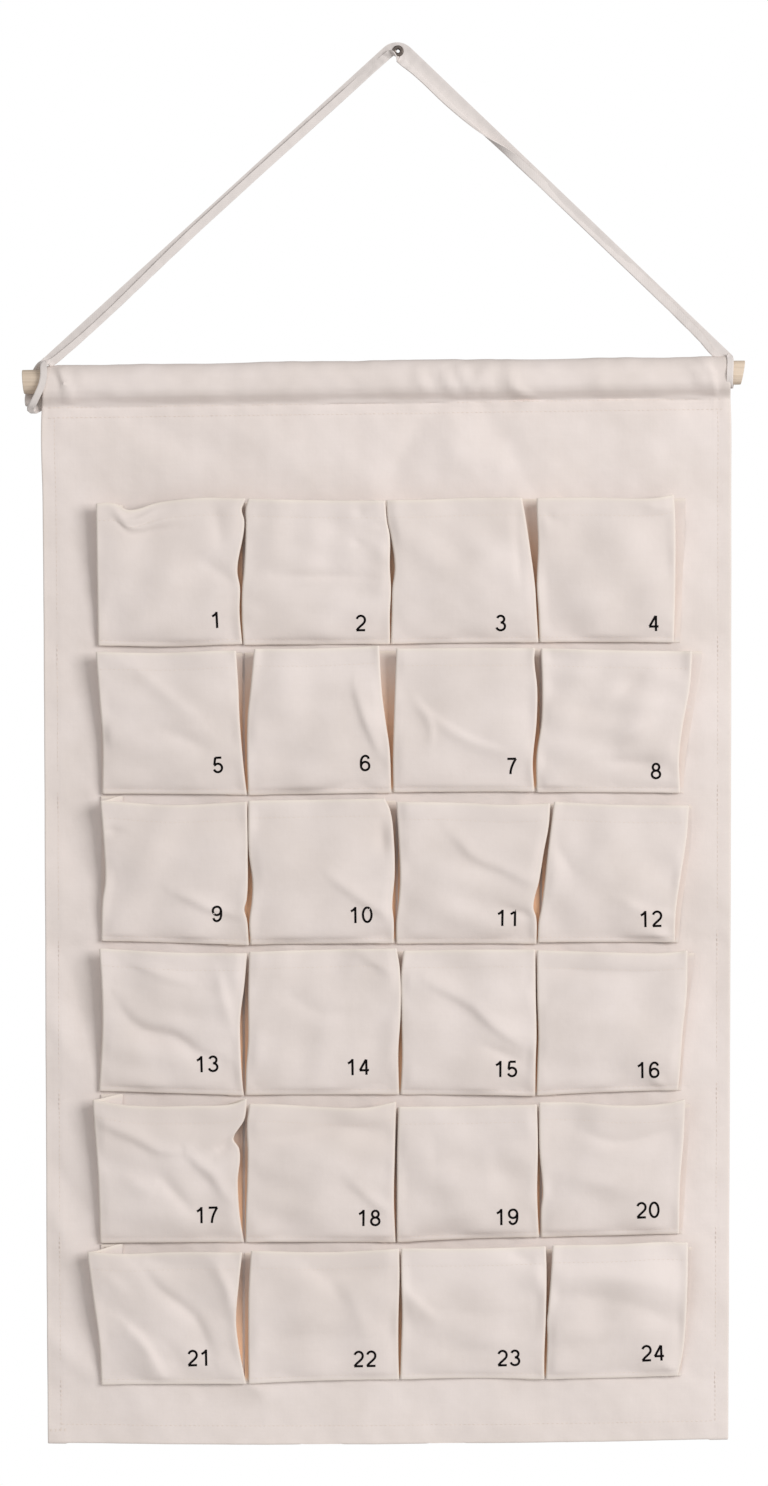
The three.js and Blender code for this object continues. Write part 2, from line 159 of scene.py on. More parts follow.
def folds(x, y, creases):
    """The height of pressed and pulled creases at x, y, in millimetres: + stands out.

    A crease is (height, width, points). A ridge or a valley is as wide on both sides; with two
    widths it falls off fast on its left and slowly on its right, as a pulled fold does."""
    total = np.zeros_like(x)
    for height, width, points in creases:
        line = curve_points(points, 6.0)
        nearest = np.full(x.shape, np.inf)
        side = np.zeros_like(x)
        along = np.zeros_like(x)
        count = len(line) - 1
        for i in range(count):
            a, b = line[i], line[i + 1]
            d = b - a
            length = math.hypot(*d)
            t = np.clip(((x - a[0]) * d[0] + (y - a[1]) * d[1]) / length**2, 0, 1)
            off_x, off_y = x - a[0] - t * d[0], y - a[1] - t * d[1]
            distance = np.hypot(off_x, off_y)
            closer = distance < nearest
            nearest = np.where(closer, distance, nearest)
            side = np.where(closer, np.sign(d[0] * off_y - d[1] * off_x), side)
            along = np.where(closer, (i + t) / count, along)
        left, right = width if isinstance(width, tuple) else (width, width)
        reach = np.where(side > 0, left, right)
        soft = np.sqrt(nearest**2 + 0.3) - math.sqrt(0.3)
        fade = np.sqrt(np.clip(np.sin(np.pi * np.clip(along, 0.03, 0.97)), 0, 1))
        total += height * fade * np.exp(-((soft / reach) ** 1.5))
    return total


def ripples(x, y, seed, length):
    """Gentle unevenness of about that wavelength, from -1 to 1."""
    chance = random.Random(seed)
    waves = 7
    total = np.zeros_like(x)
    for _ in range(waves):
        turn = chance.uniform(0, math.pi)
        wave = length * chance.uniform(0.7, 1.6)
        phase = chance.uniform(0, 2 * math.pi)
        total += np.sin(2 * math.pi * (x * math.cos(turn) + y * math.sin(turn)) / wave + phase)
    return total / math.sqrt(waves) / 1.5


def turned_edge(degrees, radius):
    """Points round a folded edge of this radius: (how far past it, how far inwards)."""
    return [(radius * math.sin(a), radius * (1 - math.cos(a))) for a in np.radians(degrees)]


def deselect():
    bpy.ops.object.select_all(action="DESELECT")


def select_only(piece):
    deselect()
    piece.select_set(True)
    bpy.context.view_layer.objects.active = piece


def finish_sheet(piece, thickness, angle=50):
    """Gives a surface the thickness of its cloth and smooths it up to its cut edges."""
    select_only(piece)
    bpy.ops.object.modifier_add(type="SOLIDIFY")
    wall = piece.modifiers[-1]
    wall.thickness = thickness
    wall.offset = 0
    bpy.ops.object.modifier_apply(modifier=wall.name)
    bpy.ops.object.shade_smooth_by_angle(angle=math.radians(angle))
    deselect()


def grid_sheet(name, places, flat, masks):
    """A cloth surface: places[row, column] in millimetres, laid flat at flat[row, column]. Each
    of the masks is a value for every place, which its material reads."""
    rows, columns = places.shape[:2]
    deselect()
    bpy.ops.mesh.primitive_grid_add(
        x_subdivisions=columns - 1, y_subdivisions=rows - 1, size=1, location=(0, 0, 0)
    )
    piece = bpy.context.object
    piece.name = name
    mesh = piece.data
    mesh.name = name
    start = np.zeros(len(mesh.vertices) * 3)
    mesh.vertices.foreach_get("co", start)
    start = start.reshape(-1, 3)
    column = np.rint((start[:, 0] + 0.5) * (columns - 1)).astype(int)
    row = np.rint((start[:, 1] + 0.5) * (rows - 1)).astype(int)
    mesh.vertices.foreach_set("co", (places[row, column] * MM).ravel())
    corners = np.zeros(len(mesh.loops), int)
    mesh.loops.foreach_get("vertex_index", corners)
    layer = mesh.uv_layers[0]
    layer.name = "cloth"
    layer.data.foreach_set("uv", (flat[row[corners], column[corners]] * MM).ravel())
    for mask, values in masks.items():
        attribute = mesh.attributes.new(mask, "FLOAT", "POINT")
        attribute.data.foreach_set("value", values[row, column].astype(np.float32))
    mesh.update()
    return piece


def mesh_piece(name, places, polygons, material):
    """A new piece from places in millimetres and the faces between them."""
    mesh = bpy.data.meshes.new(name)
    mesh.from_pydata((places * MM).tolist(), [], polygons)
    mesh.materials.append(material)
    piece = bpy.data.objects.new(name, mesh)
    bpy.context.scene.collection.objects.link(piece)
    return piece


def on_cloth(u, y, v):
    """Cloth places to the part's own frame, in millimetres."""
    x = CLOTH_X + u
    return np.stack([x, y + 0 * x, v - DOWEL_DROP + (x - DOWEL_X) * TILT], -1)


def as_seen(places):
    """Moves places read off the picture's plane back to where they are at their own depth."""
    shift = -places[..., 1] / CAMERA_DISTANCE
    moved = places.copy()
    moved[..., 0] -= (places[..., 0] - CAMERA_X) * shift
    moved[..., 2] -= (places[..., 2] - CAMERA_Z) * shift
    return moved


def drape(u, v):
    """How far the hanging backing stands back (+) or forward (-)."""
    straight = 23.0
    half_width = 251.0
    below = np.maximum(0, -v - straight)
    down = below / (CLOTH_DROP - straight)
    onset = 1 - np.exp(-below / 10.0)
    wave = 1.6 * np.sin(2 * np.pi * u / 310.0 + 0.9) * down
    buckle = -2.2 * mound(u - 65.0, 40.0) * onset * np.exp(-below / 60.0)
    curl = -1.4 * np.abs(u / half_width) ** 6 * onset
    return wave + buckle + curl


# Threads


def thread_mesh(name, runs, material, length=2.2, gap=1.2, radius=0.2):
    """One mesh of small stitches along runs of points in millimetres, on cloth that faces -Y."""
    seed = bmesh.new()
    bmesh.ops.create_uvsphere(seed, u_segments=6, v_segments=4, radius=1.0)
    unit = np.array([v.co for v in seed.verts])[:, [2, 0, 1]]
    faces = [[v.index for v in f.verts] for f in seed.faces]
    seed.free()
    chance = random.Random(name)
    places, polygons = [], []
    for points in runs:
        at = lengths_along(points)
        centre = length / 2
        while centre + length / 2 <= at[-1]:
            ends = [
                np.array([np.interp(centre + k * length / 2, at, points[:, i]) for i in range(3)])
                for k in (-1, 1)
            ]
            along = ends[1] - ends[0]
            size = np.linalg.norm(along) / 2
            along /= size * 2
            across = np.cross((0.0, -1.0, 0.0), along)
            across /= np.linalg.norm(across)
            out = np.cross(along, across)
            middle = (ends[0] + ends[1]) / 2 + across * chance.uniform(-0.12, 0.12)
            basis = np.stack([along * size, across * radius, out * radius * 0.8])
            polygons += [[i + len(places) * len(unit) for i in f] for f in faces]
            places.append(middle + unit @ basis)
            centre += length + gap * chance.uniform(0.85, 1.15)
    piece = mesh_piece(name, np.concatenate(places), polygons, material)
    piece.data.polygons.foreach_set("use_smooth", [True] * len(polygons))
    return piece


# Sizes and colours


def written(red, green, blue):
    """A colour as it is seen, 0 to 255, as the linear one that materials hold."""
    levels = [c / 255 for c in (red, green, blue)]
    return tuple(c / 12.92 if c <= 0.04045 else ((c + 0.055) / 1.055) ** 2.4 for c in levels)


class CalendarSizes(bpy.types.PropertyGroup):
    backing_cloth: FloatProperty(
        name="Backing cloth", description="Thickness of the backing's canvas",
        default=0.00075, min=0.0004, max=0.0015, precision=5, unit="LENGTH")
    pocket_cloth: FloatProperty(
        name="Pocket cloth", description="Thickness of the pockets' canvas",
        default=0.00075, min=0.0004, max=0.0012, precision=5, unit="LENGTH")
    tape_cloth: FloatProperty(
        name="Strap tape", description="Thickness of the strap's cotton tape",
        default=0.0008, min=0.0005, max=0.002, precision=5, unit="LENGTH")
    mouth_depth: FloatProperty(
        name="Mouth depth", description="How far a pocket's mouth stands out from the backing",
        default=0.0143, min=0.004, max=0.02, precision=4, unit="LENGTH")
    number_height: FloatProperty(
        name="Number height", description="Height of the printed numbers",
        default=0.0118, min=0.006, max=0.02, precision=4, unit="LENGTH")
    number_stroke: FloatProperty(
        name="Number stroke", description="Width of the numbers' strokes",
        default=0.00165, min=0.0006, max=0.003, precision=5, unit="LENGTH")
    thread_pitch: FloatProperty(
        name="Weave pitch", description="Two threads of the canvas, side by side",
        default=0.0011, min=0.0004, max=0.004, precision=5, unit="LENGTH")


class CalendarColours(bpy.types.PropertyGroup):
    canvas: FloatVectorProperty(
        name="Canvas", description="The face of the canvas", subtype="COLOR", size=3,
        min=0, max=1, default=written(234, 223, 218))
    pocket_canvas: FloatVectorProperty(
        name="Pocket canvas", description="The face of the pockets' canvas", subtype="COLOR",
        size=3, min=0, max=1, default=written(232, 221, 216))
    # Painted highlight: the paler cream along folds and hems stands in for light caught on the folded cloth
    fold: FloatVectorProperty(
        name="Folded edges", description="The canvas along its folds and hems", subtype="COLOR",
        size=3, min=0, max=1, default=written(237, 227, 213))
    # Painted shade: a warm tint in the gaps between pockets, standing in for the shade and the light
    # bounced between the canvas walls there
    recess: FloatVectorProperty(
        name="Recess", description="The canvas deep between two pockets", subtype="COLOR", size=3,
        min=0, max=1, default=written(251, 212, 176))
    thread: FloatVectorProperty(
        name="Thread", description="The sewing thread", subtype="COLOR", size=3, min=0, max=1,
        default=written(234, 219, 206))
    tape: FloatVectorProperty(
        name="Strap", description="The strap's cotton tape", subtype="COLOR", size=3, min=0, max=1,
        default=written(228, 220, 216))
    wood: FloatVectorProperty(
        name="Wood", description="The dowel's wood", subtype="COLOR", size=3, min=0, max=1,
        default=written(228, 210, 190))
    grain: FloatVectorProperty(
        name="Grain", description="The dark lines of the wood's grain", subtype="COLOR", size=3,
        min=0, max=1, default=written(208, 186, 162))
    metal: FloatVectorProperty(
        name="Eyelet", description="The eyelet's aged metal", subtype="COLOR", size=3,
        min=0, max=1, default=written(122, 112, 106))
    ink: FloatVectorProperty(
        name="Ink", description="The printed numbers", subtype="COLOR", size=3, min=0, max=1,
        default=written(14, 11, 12))


# Finishes


def feed(tree, value, socket):
    """Wires an output into a socket, or sets the socket to a number, a vector or a colour."""
    if isinstance(value, bpy.types.NodeSocket):
        tree.links.new(value, socket)
    elif socket.type == "RGBA":
        socket.default_value = (*value, 1)
    else:
        socket.default_value = value


def add_node(tree, kind, inputs=None, **properties):
    """A node with these properties, and its inputs fed by name or number."""
    node = tree.nodes.new(kind)
    for name, value in properties.items():
        setattr(node, name, value)
    for name, value in (inputs or {}).items():
        feed(tree, value, node.inputs[name])
    return node


def sums(tree, operation, *values):
    """A Math node on sockets or numbers."""
    return add_node(tree, "ShaderNodeMath", dict(enumerate(values)), operation=operation).outputs[0]


def spread(tree, value, low, high, to_low=0.0, to_high=1.0):
    """A value that runs from low to high, stretched to run between two others."""
    inputs = {"Value": value, "From Min": low, "From Max": high, "To Min": to_low, "To Max": to_high}
    return add_node(tree, "ShaderNodeMapRange", inputs).outputs[0]


def speckle(tree, vector, scale, detail):
    """A noise pattern."""
    inputs = {"Vector": vector, "Scale": scale, "Detail": detail}
    return add_node(tree, "ShaderNodeTexNoise", inputs)


def colour_mix(tree, share, first, second, mode="MIX"):
    """The first colour with the second mixed in, or multiplied in, by a share from 0 to 1."""
    node = add_node(tree, "ShaderNodeMix", data_type="RGBA", blend_type=mode)
    colours = [s for s in node.inputs if s.type == "RGBA"]
    for socket, value in ((node.inputs[0], share), (colours[0], first), (colours[1], second)):
        feed(tree, value, socket)
    return [s for s in node.outputs if s.type == "RGBA"][0]


def tinted(colour, shares):
    """A colour times one number, or times one number for each of red, green and blue."""
    shares = shares if isinstance(shares, tuple) else (shares,) * 3
    return tuple(c * k for c, k in zip(colour, shares))


def painted(tree, name):
    """A value that the piece's mesh carries at each of its points."""
    return add_node(tree, "ShaderNodeAttribute", attribute_name=name).outputs["Fac"]


def object_place(tree):
    """Where each point lies in its own piece."""
    return add_node(tree, "ShaderNodeTexCoord").outputs["Object"]


def new_group(name, inputs, outputs):
    """An empty node group with (name, kind) sockets, and its input and output nodes."""
    tree = bpy.data.node_groups.new(name, "ShaderNodeTree")
    for way, sockets in (("INPUT", inputs), ("OUTPUT", outputs)):
        for socket, kind in sockets:
            tree.interface.new_socket(socket, in_out=way, socket_type="NodeSocket" + kind)
    return tree, add_node(tree, "NodeGroupInput"), add_node(tree, "NodeGroupOutput")


def woven_group():
    """Threads over and under each other, with slubs: a height, and a light and dark of the yarn."""
    tree, inside, outside = new_group(
        "woven_threads", (("Vector", "Vector"), ("Pitch", "Float")),
        (("Height", "Float"), ("Yarn", "Float")))
    place = inside.outputs["Vector"]
    shift = add_node(
        tree, "ShaderNodeVectorMath",
        {0: speckle(tree, place, 60, 1).outputs["Color"], "Scale": 0.002}, operation="SCALE")
    moved = add_node(tree, "ShaderNodeVectorMath", {0: place, 1: shift.outputs[0]}, operation="ADD")
    split = add_node(tree, "ShaderNodeSeparateXYZ", {0: moved.outputs[0]})
    turns = sums(tree, "DIVIDE", 2 * math.pi, inside.outputs["Pitch"])
    waves = [
        sums(tree, "SINE", sums(tree, "MULTIPLY", split.outputs[axis], turns)) for axis in ("X", "Y")
    ]
    plain = sums(tree, "MULTIPLY", *waves)
    height = sums(tree, "MULTIPLY_ADD", plain, 0.5, 0.5)
    slubs = []
    for stretch in ((900, 35, 1), (35, 900, 1)):
        mapping = add_node(tree, "ShaderNodeMapping", {"Vector": place, "Scale": stretch})
        slubs.append(speckle(tree, mapping.outputs[0], 1, 2).outputs[0])
    yarn = sums(tree, "MULTIPLY", sums(tree, "ADD", *slubs), 0.5)
    feed(tree, sums(tree, "MULTIPLY_ADD", yarn, 0.8, height), outside.inputs["Height"])
    feed(tree, yarn, outside.inputs["Yarn"])
    return tree


def soft_spots_group():
    """Broad uneven patches, as on washed and pressed cloth or worn metal."""
    tree, inside, outside = new_group(
        "soft_spots", (("Vector", "Vector"), ("Scale", "Float")), (("Mask", "Float"),))
    noise = speckle(tree, inside.outputs["Vector"], inside.outputs["Scale"], 4)
    noise.inputs["Roughness"].default_value = 0.6
    feed(tree, spread(tree, noise.outputs[0], 0.35, 0.65), outside.inputs["Mask"])
    return tree


def group_node(tree, name, maker, inputs):
    """A node with a shared group in it, which its maker builds the first time."""
    group = bpy.data.node_groups.get(name) or maker()
    return add_node(tree, "ShaderNodeGroup", node_tree=group, inputs=inputs)


def soft_spots(tree, vector, scale):
    """How far each place lies in a patch, from 0 to 1."""
    inputs = {"Vector": vector, "Scale": scale}
    return group_node(tree, "soft_spots", soft_spots_group, inputs).outputs["Mask"]


def woven_cloth(tree, pitch):
    """The cloth's flat coordinates, and its weave's outputs."""
    cloth = add_node(tree, "ShaderNodeUVMap", uv_map="cloth").outputs[0]
    inputs = {"Vector": cloth, "Pitch": pitch}
    return cloth, group_node(tree, "woven_threads", woven_group, inputs).outputs


def new_material(name, roughness, specular=0.3):
    """A new material, its node tree and its shader."""
    material = bpy.data.materials.new(name)
    material.use_nodes = True
    shader = material.node_tree.nodes["Principled BSDF"]
    shader.inputs["Roughness"].default_value = roughness
    shader.inputs["Specular IOR Level"].default_value = specular
    return material, material.node_tree, shader


def bump(tree, height, distance, strength, after=None):
    """The surface's direction with this relief on it, over an earlier relief if one is given."""
    inputs = {"Distance": distance, "Strength": strength, "Height": height}
    if after is not None:
        inputs["Normal"] = after
    return add_node(tree, "ShaderNodeBump", inputs).outputs["Normal"]


def coat(tree, shader, colour, normal):
    """Puts a material's colour and its surface's relief on its shader."""
    feed(tree, colour, shader.inputs["Base Color"])
    feed(tree, normal, shader.inputs["Normal"])


def canvas_finish(name, colour, colours, pitch):
    """Cream cotton canvas: a plain weave, slight patches, painted shade and painted light in bands under
    the mouths, painted highlights along the folds, and painted warm shade in deep recesses."""
    material, tree, shader = new_material(name, 0.93, 0.2)
    cloth, weave = woven_cloth(tree, pitch)
    colour = tuple(colour)
    patches = soft_spots(tree, cloth, 15)
    base = colour_mix(tree, patches, colour, tinted(colour, (0.93, 0.924, 0.912)))
    yarn = spread(tree, weave["Yarn"], 0.35, 0.65, 0.99, 1.005)
    base = colour_mix(tree, 1.0, base, yarn, "MULTIPLY")
    for mask, shade in (
        # Painted shade and painted light under the mouths
        ("shaded", tinted(colour, (0.934, 0.924, 0.908))),
        ("painted_light", tinted(colour, (1.056, 1.058, 1.06))),
        # Painted highlight along the folds and hems
        ("edge", tuple(colours.fold)),
        # Painted warm shade deep between the pockets
        ("recess", tuple(colours.recess)),
    ):
        base = colour_mix(tree, painted(tree, mask), base, shade)
    puckers = bump(tree, speckle(tree, cloth, 110, 3).outputs[0], 0.0006, 0.35)
    coat(tree, shader, base, bump(tree, weave["Height"], 0.0001, 0.2, puckers))
    return material


def thread_finish(colours):
    """Twisted sewing thread, one material for every row of stitches."""
    found = bpy.data.materials.get("sewing_thread")
    if found:
        return found
    material, tree, shader = new_material("sewing_thread", 0.75)
    twist = add_node(
        tree, "ShaderNodeTexWave", {"Vector": object_place(tree), "Scale": 900},
        bands_direction="DIAGONAL").outputs["Fac"]
    tint = colour_mix(tree, twist, tinted(colours.thread, 0.86), tuple(colours.thread))
    coat(tree, shader, tint, bump(tree, twist, 0.0001, 0.5))
    return material


def ink_finish(colours, pitch):
    """Black print that has sunk into the weave."""
    material, tree, shader = new_material("number_ink", 0.9, 0.1)
    _, weave = woven_cloth(tree, pitch)
    worn = spread(tree, weave["Yarn"], 0.5, 0.7, 0.0, 0.15)
    faded = tuple(min(1, c * 2.6) for c in colours.ink)
    tint = colour_mix(tree, worn, tuple(colours.ink), faded)
    coat(tree, shader, tint, bump(tree, weave["Height"], 0.0001, 0.4))
    return material


def tape_finish(colours, pitch):
    """A cotton tape with a close diagonal rib."""
    material, tree, shader = new_material("cotton_tape", 0.9, 0.25)
    cloth, weave = woven_cloth(tree, pitch * 1.2)
    rib = add_node(
        tree, "ShaderNodeTexWave",
        {"Vector": cloth, "Scale": 300, "Distortion": 1.5, "Detail Scale": 40},
        bands_direction="DIAGONAL").outputs["Fac"]
    tape = tuple(colours.tape)
    base = colour_mix(tree, soft_spots(tree, cloth, 45), tape, tinted(tape, 0.95))
    between = colour_mix(tree, 1.0, base, (0.985, 0.982, 0.98), "MULTIPLY")
    base = colour_mix(tree, rib, between, base)
    # Painted shade along the tape's fold and down the left leg beside the top
    base = colour_mix(tree, painted(tree, "edge"), base, tinted(tape, 0.72))
    ribbed = bump(tree, rib, 0.0001, 0.25)
    coat(tree, shader, base, bump(tree, weave["Height"], 0.0001, 0.2, ribbed))
    return material


def wood_finish(colours):
    """Pale turned wood: rings on the cut ends run along the sides as grain."""
    material, tree, shader = new_material("pale_wood", 0.62, 0.35)
    place = object_place(tree)
    centred = add_node(
        tree, "ShaderNodeMapping",
        {"Vector": place, "Location": (0.0, 0.011, DOWEL_DROP * MM + 0.006), "Scale": (0.35, 1, 1)})
    rings = add_node(
        tree, "ShaderNodeTexWave",
        {"Vector": centred.outputs[0], "Scale": 160, "Distortion": 5, "Detail": 3, "Detail Scale": 60},
        wave_type="RINGS", rings_direction="X")
    fibres = add_node(tree, "ShaderNodeMapping", {"Vector": place, "Scale": (25, 900, 900)})
    lines = speckle(tree, fibres.outputs[0], 1, 4).outputs[0]
    share = sums(tree, "MULTIPLY", rings.outputs["Fac"], 0.45)
    base = colour_mix(tree, share, tuple(colours.wood), tuple(colours.grain))
    streak = spread(tree, lines, 0.35, 0.7, 1.04, 0.88)
    base = colour_mix(tree, 1.0, base, streak, "MULTIPLY")
    coat(tree, shader, base, bump(tree, lines, 0.0002, 0.35))
    return material


def metal_finish(colours):
    """Aged plated brass: dark, with worn brighter spots."""
    material, tree, shader = new_material("aged_metal", 0.36)
    shader.inputs["Metallic"].default_value = 1
    spots = soft_spots(tree, object_place(tree), 700)
    base = colour_mix(tree, spots, tuple(colours.metal), tinted(colours.metal, 0.6))
    feed(tree, spread(tree, spots, 0, 1, 0.28, 0.5), shader.inputs["Roughness"])
    coat(tree, shader, base, bump(tree, spots, 0.00005, 0.5))
    return material


